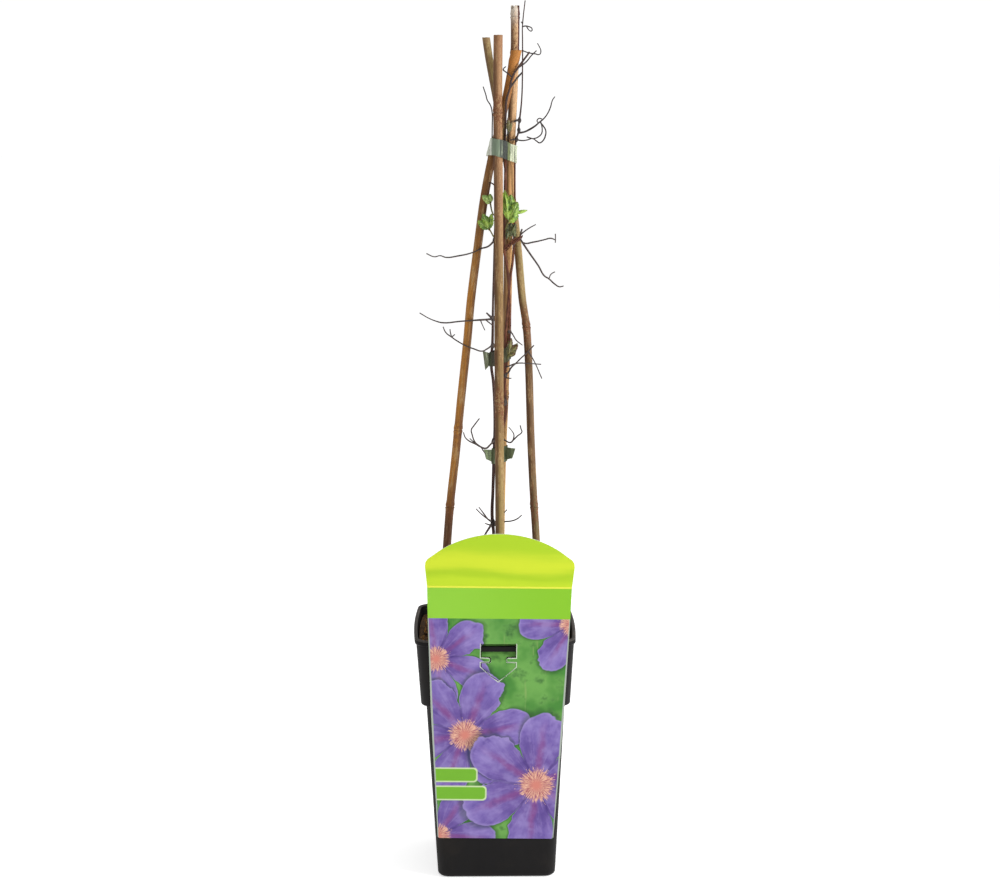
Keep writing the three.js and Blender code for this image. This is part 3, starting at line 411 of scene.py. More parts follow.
for low, high in (SLOT_HEIGHTS, NOTCH_HEIGHTS):
    cut_block(pot, -RIM_HALF, (low + high) / 2, (2 * SLOT_HALF, CUT_DEPTH, high - low))
for i in range(DRAIN_COUNT):
    angle = (i + 0.5) / DRAIN_COUNT * math.tau
    place = Vector((DRAIN_RING * math.cos(angle), DRAIN_RING * math.sin(angle), FLOOR_TOP)) * MM
    bpy.ops.mesh.primitive_cylinder_add(
        vertices=24, radius=DRAIN_RADIUS * MM, depth=DRAIN_DEPTH * MM, location=place)
    cut_with(pot, bpy.context.object)
print("pot is", round(2 * RIM_HALF), "mm across the rim and", round(POT_HEIGHT), "mm tall")

# %% [markdown]
# Recycled black polypropylene isn't one black. Its skin has a fine orange-peel grain from the mould, faint
# vertical flow marks, and dust that turns it brown-grey in patches. So the base colour moves between two
# near-blacks, and the roughness moves with it.

# %% Finish of the pot
def pot_finish():
    finish = Finish("pot plastic")
    where = finish.place()
    height = finish.parts(where)[2]
    grain = finish.speckle(where, 1800, 3, 0.7)
    flow = finish.speckle(finish.stretched(where, (60, 60, 9)), 1, 5, 0.6)
    dust = finish.speckle(where, 34, 6, 0.65).rise(0.5, 0.78)
    # Painted highlight: a pale line along the rim's rounded top edge, mixed with dust and wear.
    rim_highlight_and_wear = height.rise((POT_HEIGHT - 1.3) * MM, (POT_HEIGHT - 0.5) * MM) * (0.35 + dust * 0.5)
    colour = finish.layers(
        paint(9, 8, 9), (flow, paint(20, 18, 18)), (dust * 0.4, paint(44, 39, 34)),
        (rim_highlight_and_wear, paint(112, 106, 100)))
    rough = 0.5 + dust * 0.2 + grain * 0.1
    relief = finish.bump(grain + flow * 0.6, 0.25, 0.12 * MM)
    return finish.surface(Base_Color=colour, Roughness=rough, Normal=relief, Specular_IOR_Level=0.13)


hand_over(pot, "pot_shell", "pot_plastic", [pot_finish()], ["pot"])

# %% [markdown]
# ## Soil: peat, coir and bark
# Potting soil settles a few millimetres below the rim. Its top is a crumbly sheet, so it starts as a fine
# grid, rounded to the pot's plan and lifted by noise at two sizes. The border is extruded down to the floor
# of the pot, since the soil is what holds the canes. Crumbs and golden coir fibres lie on it as their own
# small meshes.

# %% Model the soil
SOIL_Z = 183.2
SOIL_HALF = 57.6
SOIL_CELLS = 130
SOIL_DROPS = ((-41, 0.955), (-5, 0.925), (-131, 0.845))
TONGUE_ROOM_INSET, TONGUE_ROOM_Z = 3.5, 182.6
TONGUE_ROOM = (2 * SLOT_HALF, 8, 20)
rng = random.Random(7)


def soil_height(x, y):
    """The top of the soil in millimetres: broad heaps, crumbs and fine grit."""
    broad = 1.1 * math.sin(0.09 * x + 1.3) * math.cos(0.08 * y - 0.4)
    crumbs = 1.5 * noise.fractal(Vector((x, y, 0)) * 0.16, 0.7, 2, 4)
    grit = 0.5 * noise.noise(Vector((x, y, 3)) * 0.9)
    return SOIL_Z + broad + crumbs + grit


bpy.ops.mesh.primitive_grid_add(x_subdivisions=SOIL_CELLS, y_subdivisions=SOIL_CELLS, size=2 * MM)
soil = bpy.context.object
for point in soil.data.vertices:
    x, y = point.co.x / MM, point.co.y / MM
    square = max(abs(x), abs(y))
    round_share = square / square_reach(x, y)
    x, y = SOIL_HALF * x * round_share, SOIL_HALF * y * round_share
    slack = SIDE_BULGE / RIM_HALF
    x, y = x * (1 - slack * (y / SOIL_HALF) ** 2) - POT_LEAN, y * (1 - slack * (x / SOIL_HALF) ** 2)
    edge = min(1, 6 * (1 - square))
    point.co = Vector((x, y, soil_height(x, y) * edge + (SOIL_Z - 1) * (1 - edge))) * MM
with editing(soil, "EDGE"):
    choose(lambda edge: edge.is_boundary, "edges")
    for drop, share in SOIL_DROPS:
        extrude((-POT_LEAN * drop / POT_HEIGHT * MM, 0, drop * MM), share, (0, 0, 0))
    bpy.ops.mesh.edge_face_add()
outwards(soil)
cut_block(soil, TONGUE_ROOM_INSET - RIM_HALF, TONGUE_ROOM_Z, TONGUE_ROOM)


# %% Crumbs and fibres on the soil
CRUMB_COUNT, CRUMB_LENGTH = 420, 3.4
FIBRE_COUNT, FIBRE_LENGTH = 520, 9
SPREAD = 55


def own_copy(model):
    """A copy of an object that has its own mesh."""
    copy = model.copy()
    copy.data = model.data.copy()
    bpy.context.collection.objects.link(copy)
    return copy


def copies(model, count, settle):
    """Copies a small mesh many times, each copy with its own mesh and place."""
    made = []
    for _ in range(count):
        copy = own_copy(model)
        settle(copy)
        made.append(copy)
    bpy.data.objects.remove(model)
    return made


def scatter(copy, longest, lift):
    """Lays a copy on the soil, clear of the pot's wall and the label's tongue."""
    size = rng.uniform(0.5, 1) * longest * MM
    while True:
        x, y = rng.uniform(-SPREAD, SPREAD), rng.uniform(2 - SPREAD, SPREAD)
        beside_tongue = y < -48 and abs(x) < 20
        if abs(x) ** 6 + abs(y) ** 6 < SPREAD ** 6 and not beside_tongue:
            break
    copy.scale = (size, size * rng.uniform(0.6, 1), size * rng.uniform(0.5, 1))
    copy.location = Vector((x, y, soil_height(x, y) + lift)) * MM
    copy.rotation_euler = (rng.uniform(-0.3, 0.3), rng.uniform(-0.3, 0.3), rng.uniform(0, math.tau))


bpy.ops.mesh.primitive_ico_sphere_add(subdivisions=1, radius=0.5)
crumb = bpy.context.object
with editing(crumb):
    bpy.ops.mesh.select_all(action="SELECT")
    bpy.ops.transform.vertex_random(offset=0.12, seed=3)
crumbs = copies(crumb, CRUMB_COUNT, lambda copy: scatter(copy, CRUMB_LENGTH, 0.2))
bpy.ops.mesh.primitive_cylinder_add(vertices=5, radius=0.04, depth=1, rotation=(0, math.pi / 2, 0))
fibre = bpy.context.object
with editing(fibre):
    bpy.ops.mesh.select_all(action="SELECT")
    bpy.ops.mesh.bisect(plane_co=(0, 0, 0), plane_no=(1, 0, 0))
    bpy.ops.transform.translate(value=(0, 0.1, 0.1))
    bpy.ops.transform.resize(value=(1, 1.5, 1.5))
fibres = copies(fibre, FIBRE_COUNT, lambda copy: scatter(copy, FIBRE_LENGTH, 0.9))


# %% [markdown]
# The soil's colour comes from three things at three sizes: dark peat, brown bark and golden coir. Each is a
# band of noise, and the strongest bump of the whole scene goes here, since soil is nothing but edges.

# %% Finish of the soil
def soil_finish(name, dark, middle, bright, share):
    finish = Finish(name)
    where = finish.place()
    clods = finish.speckle(where, 160, 6, 0.7)
    grit = finish.speckle(where, 900, 4, 0.75)
    strands = finish.speckle(finish.stretched(where, (900, 160, 500)), 1, 4, 0.7)
    strands = strands.rise(share, share + 0.12)
    colour = finish.layers(dark, (grit.rise(0.35, 0.7), middle), (strands, bright))
    relief = finish.bump(clods + grit * 0.7, 0.9, 1.2 * MM)
    return finish.surface(
        Base_Color=colour, Roughness=0.75 + grit * 0.25, Normal=relief, Specular_IOR_Level=0.25)


peat = soil_finish("potting soil", paint(42, 30, 20), paint(98, 70, 40), paint(168, 122, 62), 0.57)
coir = soil_finish("coir fibre", paint(118, 80, 38), paint(176, 128, 66), paint(204, 160, 92), 0.55)
hand_over(soil, "soil_block", "potting_soil", [peat], ["soil"])
for name, pieces, finish in (("soil_crumbs", crumbs, peat), ("soil_fibres", fibres, coir)):
    hand_over(merge(pieces, name), name, "potting_soil", [finish], ["soil"])

# %% [markdown]
# ## Bamboo canes
# A garden cane is one stretch of bamboo: hollow, ringed by nodes, a little crooked and never quite round.
# Each one is drawn as it grew, by extruding a circle ring by ring along its centre line. At a node the ring
# swells into a sharp lip and a softer bulge above it, and at the cut end the bore goes down inside.

# %% Routes of the canes, in millimetres
CANES = {
    "cane_front": {
        "radius": 3.35,
        "nodes": (240, 362, 575),
        "path": (
            (3.7, -37, 31), (3.2, -30, 170.5), (2.7, -24.4, 265.2), (2.3, -18.6, 364.5), (2.1, -14.3, 437.6),
            (1.9, -10.6, 511.1), (1.6, -8.9, 554), (1.4, -8.9, 586.9), (1.7, -9.2, 630.9),
        ),
    },
    "cane_back": {
        "radius": 3.2,
        "jag": 6,
        "nodes": (243, 362, 490, 617, 645),
        "path": (
            (2.4, 37.4, 54), (3.2, 30, 173.2), (4, 23.9, 253.8), (5, 19.6, 311.3), (7, 15.5, 366.1),
            (9, 10.3, 435.9), (9.4, 7.2, 473.4), (10.4, 3, 527.7), (11.6, 2.2, 559.6), (12.8, 3, 584.5),
            (14.3, 4.2, 623.6), (14.4, 5, 652.7),
        ),
    },
    "cane_left": {
        "radius": 3.15,
        "flare": 0.9,
        "nodes": (279, 338),
        "path": (
            (-40.6, 3, 30), (-41.2, 3.2, 105.8), (-41.3, 3, 171.7), (-39.3, 2.5, 217.4), (-37, 2.1, 252.5),
            (-34.4, 1.8, 283.8), (-30.8, 1.5, 315.2), (-26.3, 1, 360.4), (-21.3, 0.5, 406.7),
            (-18.6, 0.2, 436.3), (-12.8, -0.3, 480.9), (-8.8, -0.6, 510.6), (-3.1, -0.9, 540.5),
            (2.7, -1.4, 564.4), (7.5, -2.9, 584.2), (12, -3.8, 606.2), (15.2, -4.5, 620.1),
        ),
    },
    "cane_right": {
        "radius": 2.9,
        "nodes": (278, 416),
        "path": (
            (36.6, 5, 30), (36, 5.2, 106.4), (34.5, 5.4, 172.3), (30.8, 5.9, 256), (29.1, 6.2, 282.4),
            (26.8, 6.7, 330.4), (25.1, 7.2, 384.5), (23.3, 7.6, 415.1), (20.2, 8.4, 435.8),
            (16.2, 9.9, 480.4), (11.5, 10.6, 518.2), (7, 10.2, 548), (1, 9, 583.8), (-4.6, 7.6, 613.7),
            (-7, 7, 629.7),
        ),
    },
}


def route_at(path, z):
    """The centre line at a height: a smooth curve through the points either side of it."""
    after = next((i for i, point in enumerate(path) if point[2] >= z), len(path) - 1)
    after = max(after, 1)
    low, high = Vector(path[after - 1]), Vector(path[after])
    before, beyond = Vector(path[max(after - 2, 0)]), Vector(path[min(after + 1, len(path) - 1)])
    share = (z - low.z) / (high.z - low.z)
    start = (high - before) / max(high.z - before.z, 1e-6) * (high.z - low.z)
    end = (beyond - low) / max(beyond.z - low.z, 1e-6) * (high.z - low.z)
    s2, s3 = share ** 2, share ** 3
    place = low * (2 * s3 - 3 * s2 + 1) + start * (s3 - 2 * s2 + share)
    place += high * (3 * s2 - 2 * s3) + end * (s3 - s2)
    return Vector((place.x, place.y, z))


# %% Model a cane
NODE_PROFILE = (
    (-8, 0), (-3.4, 0.04), (-1.8, 0.2), (-1.1, 0.44), (-0.7, 0.42), (-0.4, 0.08), (0.1, 0.05), (0.9, 0.32),
    (1.8, 0.4), (2.8, 0.2), (5, -0.05), (9, -0.04),
)
BORE_RADIUS = 1.3
BORE_DEPTH = 14
RING_STEP = 9
NODE_ROOM = 10
FLARE_PROFILE = ((18, 0.1), (12, 0.35), (7, 0.9), (4, 0.72))
SAW_STEP, SPLINTER = 0.8, 1.6
CANE_SIDES = 20


def cane_levels(cane):
    """Heights and radii up the cane: a ring every few millimetres, and more at each node."""
    foot, top = cane["path"][0][2], cane["path"][-1][2]
    radius = cane["radius"]
    levels = [(z, radius) for z in range(int(foot) + RING_STEP, int(top) - 4, RING_STEP)]
    levels = [(z, r) for z, r in levels if all(abs(z - node) > NODE_ROOM for node in cane["nodes"])]
    for node in cane["nodes"]:
        levels += [(node + rise, radius + swell) for rise, swell in NODE_PROFILE if node + rise < top - 1]
    levels = [(foot, radius - 0.5), (foot + 0.6, radius)] + sorted(levels)
    if "flare" in cane:
        levels = [(z, r) for z, r in levels if z < top - FLARE_PROFILE[0][0]]
        levels += [(top - drop, radius + swell) for drop, swell in FLARE_PROFILE]
    wide = radius + cane.get("flare", 0)
    cut_end = [(top - 0.3, wide), (top, wide - 0.25), (top, BORE_RADIUS), (top - BORE_DEPTH, BORE_RADIUS)]
    return levels + cut_end


def model_cane(cane):
    """A round foot, extruded ring by ring up the centre line and down the bore."""
    levels = cane_levels(cane)
    foot, radius = levels[0]
    start = route_at(cane["path"], foot) * MM
    bpy.ops.mesh.primitive_circle_add(
        vertices=CANE_SIDES, radius=radius * MM, fill_type="NGON", location=start)
    piece = bpy.context.object
    bpy.ops.object.transform_apply(location=True)
    with editing(piece, "FACE"):
        bpy.ops.mesh.select_all(action="SELECT")
        for (last_z, last_radius), (z, radius) in zip(levels, levels[1:]):
            centre = route_at(cane["path"], z) * MM
            extrude(centre - route_at(cane["path"], last_z) * MM, radius / last_radius, centre)
    outwards(piece)
    fray(piece, cane)
    return piece


def ring_noise(bearing, turns, height):
    """Noise round a ring, which meets itself after a full turn."""
    return noise.noise(Vector((turns * math.cos(bearing), turns * math.sin(bearing), height)))


def fray(piece, cane):
    """Makes the cut end uneven: the saw leaves a little step, a snapped cane leaves splinters."""
    top = cane["path"][-1][2] * MM
    middle = route_at(cane["path"], cane["path"][-1][2]) * MM
    for point in piece.data.vertices:
        if point.co.z > top - 0.4 * MM:
            bearing = math.atan2(point.co.y - middle.y, point.co.x - middle.x)
            point.co.z -= cane.get("jag", SAW_STEP) * SPLINTER * abs(ring_noise(bearing, 3, 0)) * MM


LIP_WIDTH, STAIN_WIDTH = 1.2, 16


def node_nearness(cane, z):
    """1 at a node, half of that just beside it, and less and less for three centimetres either way."""
    drop = min(abs(z - node) for node in cane["nodes"])
    return sum(0.5 * math.exp(-(drop / width) ** 2) for width in (LIP_WIDTH, STAIN_WIDTH))


def straighten(cane):
    """What a point's place would be if its cane were straight: across, back and up, in millimetres."""
    def rule(place):
        centre = route_at(cane["path"], place.z / MM)
        return (place.x / MM - centre.x, place.y / MM - centre.y, place.z / MM)
    return rule


# %% [markdown]
# Bamboo skin is a hard, waxy sheath over long fibres. It weathers in streaks that run with the cane, with
# sooty specks and red-brown mottling where it lay wet, and a dark line under each node. The streaks read
# the place that each point had on the straight cane, so they bend with it. The side away from the main light
# is darkened in the colour, as painted shade.

# %% Finish of a cane
WARMTH = 0.2


def cane_finish(name, low, middle, high, heights, mottle, painted_shade_side, tip, tip_heights, dark_strip_share=0):
    """Three paints up the cane, and one for its tip, each with the heights between which it comes in.
    One side of the cane, chosen by a sign, is darkened as painted shade.
    """
    finish = Finish(name)
    where = finish.place("straight")
    across, _, height = finish.parts(where)
    joint = finish.parts(finish.place("joint"))[0]
    streak = finish.speckle(finish.stretched(where, (2.2, 2.2, 0.02)), 1, 5, 0.7)
    fibre = finish.speckle(finish.stretched(where, (9, 9, 0.05)), 1, 3, 0.7)
    patch = finish.speckle(finish.stretched(where, (0.5, 0.5, 0.06)), 1, 5, 0.65)
    speck = finish.speckle(finish.stretched(where, (0.8, 0.8, 0.5)), 1, 5, 0.8)
    dots = finish.speckle(finish.stretched(where, (1.3, 1.3, 1.1)), 1, 3, 0.8)
    # Painted shade: the side of the cane away from the main light is darkened, broken by the streaks.
    edge = (across * painted_shade_side + streak * 3 - 1.5).rise(-1, 2.6)
    near = (joint + patch * 0.5).rise(0.4, 0.75)
    mottled = speck.rise(0.47, 0.54) * (near * 1.3 + patch.rise(0.42, 0.58) * 0.6)
    end = height.rise(*tip_heights) * (streak.rise(0.35, 0.5) * 0.6 + 0.4)
    # A dark red-brown strip down the right edge, near the top of the back cane.
    dark_strip = (across + streak).rise(2.2, 2.7) * height.rise(608, 616)
    colour = finish.layers(
        low,
        (height.rise(*heights[:2]), middle),
        (height.rise(*heights[2:]), high),
        (edge * 0.85, paint(74, 42, 18)),
        (streak.rise(0.46, 0.6) * 0.5, paint(96, 62, 30)),
        (patch.rise(0.5, 0.66) * 0.5, paint(206, 176, 124)),
        (fibre.rise(0.5, 0.7) * 0.35, paint(70, 46, 24)),
        (dots.rise(0.58, 0.64) * mottle * 0.55, paint(70, 42, 24)),
        (mottled * mottle, paint(112, 62, 30)),
        (speck.rise(0.6, 0.66) * near * mottle, paint(226, 186, 140)),
        (joint.rise(0.86, 1) * 0.35, paint(84, 52, 30)),
        (end, tip),
        (dark_strip * dark_strip_share, paint(74, 34, 28)),
        (WARMTH, paint(48, 26, 6)))
    rough = 0.5 + streak * 0.25
    relief = finish.bump(fibre + streak * 0.8, 0.35, 0.25 * MM)
    return finish.surface(Base_Color=colour, Roughness=rough, Normal=relief, Specular_IOR_Level=0.3)


# The sign of each cane's shade entry picks the side that gets painted shade: -1 the left side, 1 the right.
CANE_FINISHES = {
    "cane_front": {
        "name": "bamboo_front", "low": paint(166, 142, 86), "middle": paint(146, 118, 70),
        "high": paint(174, 132, 92), "heights": (310, 350, 450, 520), "mottle": 0.9, "painted_shade_side": -1,
        "tip": paint(150, 106, 72), "tip_heights": (600, 640),
    },
    "cane_back": {
        "name": "bamboo_back", "low": paint(236, 190, 118), "middle": paint(236, 180, 116),
        "high": paint(226, 184, 138), "heights": (240, 400, 520, 600), "mottle": 0.5, "painted_shade_side": -1,
        "tip": paint(214, 202, 186), "tip_heights": (634, 652), "dark_strip_share": 1,
    },
    "cane_left": {
        "name": "bamboo_left", "low": paint(84, 46, 18), "middle": paint(186, 124, 42),
        "high": paint(124, 80, 28), "heights": (262, 304, 440, 510), "mottle": 0.5, "painted_shade_side": 1,
        "tip": paint(178, 116, 50), "tip_heights": (560, 612),
    },
    "cane_right": {
        "name": "bamboo_right", "low": paint(116, 104, 66), "middle": paint(112, 86, 54),
        "high": paint(176, 156, 100), "heights": (280, 320, 422, 450), "mottle": 0.9, "painted_shade_side": -1,
        "tip": paint(150, 122, 84), "tip_heights": (624, 629),
    },
}
for name, cane in CANES.items():
    piece = model_cane(cane)
    lay_attribute(piece, "straight", straighten(cane))
    lay_attribute(piece, "joint", lambda place: (node_nearness(cane, place.z / MM), 0, 0))
    look = CANE_FINISHES[name]
    hand_over(piece, name + "_bamboo", look["name"], [cane_finish(**look)], [name])

# %% [markdown]
# ## Stems and their tendrils
# The climber's stems are woody threads, and what hangs on them in winter are dry leaf stalks that once
# curled round the canes. A curve with a round bevel draws such a thread well: each control point has its
# own thickness. Every spline is then made a mesh, and the swollen joints are short, thick splines of the
# same curve.

# %% Routes of the left stem, in millimetres: (first radius, last radius, points)
STEM_LEFT = (
    (1.6, 0.5, (
        (-4.6, 12, 145.2), (-3.7, 15.5, 193.9), (-1.4, 18, 252.5), (-2.6, 18.5, 269.1), (-2, 17.5, 287.7),
        (-1.4, 16, 308.2), (-0.5, 14, 343.4), (-1.8, 12, 373.8), (-3.2, 11, 385.6), (-2.3, 9, 405.2),
        (-2, 7, 431.7), (-1.3, 5, 459.3), (-0.7, 3, 482), (0.1, 1, 503.8), (0.9, -0.6, 515.6),
        (-0.4, -2.8, 521), (-3, -4.6, 523.4), (-5.2, -5.2, 523.8))),
    (0.75, 0.4, (
        (-0.7, 3, 481), (-5.7, -2, 476.6), (-11.4, -5, 475.1), (-16.6, -6, 472.6), (-28.6, -5, 469.7),
        (-37.2, -3, 468.6), (-41.4, -2, 469.8), (-45.7, -1, 468.9), (-51.7, 0, 471.3))),
    (0.8, 0.4, (
        (-2.1, 7.7, 421.5), (-7.3, 2, 421.6), (-11.5, -2.5, 421.8), (-20.1, -5, 421.5), (-26.7, -5, 421),
        (-39.9, -3, 419.8), (-45.1, -2, 421), (-50.2, -1, 423), (-57, 0, 426.9))),
    (0.5, 0.4, ((-11.5, -2.5, 421.8), (-10, -3, 418), (-8.1, -3, 414))),
    (0.5, 0.4, ((-7.7, 1.8, 421.6), (-5, 1.6, 419.4), (-2.5, 1.6, 417.5))),
    (1.3, 0.6, ((-2.2, 7.2, 421.9), (-4.6, 4.6, 424.2), (-6.9, 3.6, 426.5))),
    (0.7, 0.4, (
        (-2.3, 9.3, 401.7), (-6.5, 5, 399.1), (-10.3, 1, 397.9), (-16.7, -4, 400.3), (-21.9, -5.4, 402.4),
        (-28.3, -5, 405.9), (-33, -4, 409), (-37.4, -3, 412.4), (-39.5, -2, 416.7))),
    (0.5, 0.4, ((-33, -4, 409), (-33.9, -4.5, 412.2), (-34.3, -5, 415.2))),
    (0.5, 0.4, ((-33, -4, 409), (-31.7, -4, 410.2), (-30.5, -4, 411.2))),
    (0.8, 0.45, (
        (-0.7, 14.6, 328.2), (-4.3, 9, 325.1), (-7.4, 6, 323), (-11.5, 4, 324.5), (-15, 3, 326.7),
        (-20.3, 0.8, 329.6), (-23.2, -0.8, 332.7), (-24.4, -1.4, 336.5))),
    (0.6, 0.5, (
        (-11.5, 4, 324.5), (-15.6, 3.5, 328.1), (-18, 3, 334.6), (-18.5, 3, 337.6), (-16.2, 3.5, 341.2),
        (-12.3, 4, 346.3))),
    (0.5, 0.4, ((-15, 3, 326.7), (-17.6, 4, 329), (-19.7, 5, 330.8))),
    (0.6, 0.4, ((-11, 4.2, 324.2), (-9.5, 5, 321.3), (-7.9, 6, 319))),
    (0.9, 0.4, ((-2, 18, 263), (-4.3, 14, 265.4), (-6.3, 11, 267.4), (-11.2, 8, 271.9), (-15, 6, 276.2))),
    (0.6, 0.4, ((-6.3, 11, 267.4), (-9.5, 10.4, 272.1), (-12.9, 10, 276.8))),
    (0.7, 0.4, ((-2, 18, 261.1), (-4.9, 15, 261.9), (-8.2, 13.4, 263.4))),
    (1, 0.7, ((-2.3, 17.5, 262.7), (-4.6, 13, 260.2), (-8.2, 9, 255.2), (-10.5, 6, 250.3))),
)
KNOBS_LEFT = (
    (-1.8, 18.1, 262.3, 2.2), (-1.3, 16, 326.8, 1.9), (-2.2, 9.2, 401.2, 1.7), (-2.1, 7.4, 421.9, 1.8),
    (-0.8, 3.1, 481.1, 1.6),
)

# %% Routes of the right stem, which forks
STEM_RIGHT = (
    (1.4, 0.4, (
        (1.4, 9, 145.1), (1.6, 11.5, 198.6), (1.9, 13, 254.2), (2.6, 15, 281.3), (3.1, 14.2, 312.6),
        (4.6, 12.3, 334.5), (7.6, 11.3, 347.8), (7.3, 10.2, 367.1), (7.1, 8.8, 386.4), (7.4, 7.4, 405.6),
        (9.5, 5.2, 432.3), (11.1, 3.5, 453.8), (12.8, 3, 465.4), (13.6, 2.8, 478.1), (14.2, 2.2, 507),
        (14.1, -0.9, 530.7), (14.3, -1.8, 547.6), (15.1, -1.6, 555.2), (16.7, -0.8, 560.4), (17.2, 0, 566.8),
        (17.8, 0.5, 571), (19.2, 1, 584.2), (19.8, 2, 606.7), (19.8, 3, 629), (19.7, 3.2, 636.3),
        (20.1, 3.4, 642.1), (21.7, 4, 656.2))),
    (1.2, 0.8, (
        (7.2, 9.4, 381), (9, 8.4, 394.1), (10.5, 7.4, 411.6), (10.5, 5.5, 432.2), (9.9, 3.4, 447.4),
        (8.8, 2.6, 459.5), (6.4, 1.2, 473.3), (6.1, -0.2, 487.3), (6.5, -1, 507.3), (7, -1.6, 522.7),
        (7.1, -2.4, 538.2), (7, -2.8, 551.3), (7, -4.5, 563.7), (7.2, -6.9, 573.9), (7.8, -8.1, 584.1),
        (10.2, -8.2, 592.2), (12.4, -8.5, 601.3), (16.9, -7.4, 608.1), (20.7, -6.4, 613.3),
        (24.8, -5.5, 618.7))),
    (0.8, 0.6, ((10, -8.2, 592), (15.2, -7.7, 599.4), (19.2, -6, 603.8))),
    (0.6, 0.45, ((16.2, -7.5, 607.1), (22.6, -5, 611.9), (25.9, -4.5, 615.9), (29.9, -4, 619.8))),
    (0.5, 0.4, (
        (19.7, 3.2, 637.2), (21.6, 2.8, 637.7), (24.2, 2.2, 637.3), (26.6, 2, 636), (26.5, 2, 634.2),
        (25, 2.6, 634.4), (23.5, 3.6, 636.2), (22.8, 4.4, 637.4))),
    (0.45, 0.4, ((19.9, 3.4, 639.4), (19.3, 4, 640.2), (18.8, 4.5, 640.8))),
    (0.5, 0.4, (
        (19.8, 2.7, 620), (24.5, 1, 618.3), (28.9, 0, 617.6), (32.3, -0.5, 617.2), (33.2, -0.5, 619.4),
        (32.2, -0.5, 622.5), (30.6, -0.5, 625.2))),
    (0.5, 0.4, (
        (12, -8.4, 600.2), (8.9, -8.6, 603.1), (6.6, -7, 604.8), (5.5, -4.8, 606), (6.6, -3.2, 607.7),
        (7.5, -2.7, 608.2))),
    (0.9, 0.6, ((17.5, 0.2, 569.7), (15, -2, 569.1), (13.2, -2.6, 568.1))),
    (0.8, 0.4, (
        (16.9, -0.8, 560.2), (20.9, -1, 560.8), (25.4, -1.2, 562.9), (29.6, -1.2, 565.6), (32.3, -1.2, 568),
        (34.1, -1, 569.3), (37.5, -0.5, 573), (40.3, 0, 578.5), (42, 0.3, 584.2), (43.7, 0.4, 586.6))),
    (0.45, 0.4, (
        (31.9, -1.3, 567.4), (30.5, -2.4, 568.8), (31.6, -2.6, 570.6), (33.6, -2.4, 570.5),
        (34.4, -1.6, 569.3))),
    (0.55, 0.45, (
        (32.7, -1.4, 568), (35.1, -2, 565.2), (36.9, -2.4, 561.9), (36.6, -2.6, 557.9), (34.8, -2.6, 554.4),
        (32.4, -2.4, 552.9), (30.2, -2, 554.2), (27.9, -1.6, 555.8), (26.3, -1.4, 556.2),
        (22.9, -1.2, 557.3))),
    (0.5, 0.45, (
        (33.4, -1.4, 567.8), (34.3, -0.4, 563.8), (33.9, 0.2, 559.6), (30.7, -0.4, 556.8),
        (27.7, -1.4, 555.9))),
    (0.6, 0.45, ((15.2, -1.7, 555.4), (18, -1.8, 554.7), (22.3, -1.6, 554.8), (26.5, -1.4, 556.1))),
    (0.6, 0.45, ((15.2, -1.7, 555.4), (12.9, -3, 555.2), (10.9, -4, 554.9))),
    (0.75, 0.45, (
        (18.5, 3, 481.8), (20.8, 3.5, 478.9), (28.2, 3, 479.5), (36.2, 2, 481.3), (41.3, 1.5, 482.4),
        (44.5, 1.2, 481.2))),
    (0.4, 0.45, ((44.5, 1, 485.8), (44.6, 1.1, 482.7), (44.5, 1.2, 479.1))),
    (0.75, 0.45, (
        (18.5, 3, 481.5), (24.8, 2, 472.1), (32.2, 0, 461.5), (36.2, -1, 454.7), (39.7, -1, 452.4),
        (44.2, -1.5, 448.4), (47.6, -2, 446.5), (50.7, -2, 447.1))),
    (0.45, 0.4, ((39.7, -1, 452.4), (41.3, -1.6, 455.9), (44.2, -2, 457.7))),
    (0.8, 0.6, ((18, 2.7, 481.9), (18.8, 2.4, 486.6), (19.7, 2.2, 489.3))),
    (0.6, 0.4, ((18.6, 2.4, 485), (20.8, 2, 487), (25.2, 1.6, 490.1), (29.9, 1, 492.7))),
    (0.6, 0.4, (
        (7.1, 8.9, 384.7), (9.7, 6.2, 385.8), (13.8, 4.4, 387.7), (17.8, 2.6, 388.6), (24.4, 2, 388.4),
        (34.3, 2, 387.7))),
    (0.75, 0.5, (
        (7.4, 9.6, 378.7), (10.1, 7.4, 381.5), (11.3, 6, 384.2), (15.3, 3.6, 388.4), (19.1, 2.6, 392.4),
        (23.9, 2.2, 396.9), (28.8, 2.8, 402.1))),
    (0.5, 0.4, ((24.5, 2.1, 397.6), (29, 2.4, 390), (34.8, 2, 376.9))),
    (0.7, 0.4, ((7.3, 9.8, 377.2), (9.4, 8, 376.5), (12, 7.6, 376.4))),
    (0.6, 0.4, (
        (10.4, 7.4, 412.5), (11.9, 6.2, 411.3), (13.6, 5.2, 408.8), (15.3, 4.8, 405.9), (18, 4.6, 403.6),
        (20.3, 4.2, 401.9))),
    (0.65, 0.5, (
        (4, 12.6, 330.2), (7.2, 10.4, 328.5), (11.3, 9.2, 326.9), (13.5, 8.4, 329), (16.6, 8, 332.1),
        (20, 7.6, 335.4), (19.3, 7.5, 337.6), (18.7, 7.5, 340.4))),
    (0.5, 0.4, ((13.3, 8.5, 328.6), (13.9, 8.8, 333.1), (12.1, 9, 336.3), (9.9, 9, 338.8))),
    (0.7, 0.4, ((2.1, 13.4, 263.5), (6.7, 10, 265.3), (12, 8, 266.2), (16.5, 7, 268.1), (20.1, 6.4, 271.2))),
    (0.6, 0.4, ((2.4, 13.8, 267.6), (5, 12, 270.5), (7.1, 11.4, 272.6), (8.7, 11, 274.5))),
)
KNOT = ((6.4, 1, 473.4), (9.2, 0.5, 477.2), (12.9, 0, 480.1), (16.6, 1.5, 481.7), (18.9, 2.6, 484))
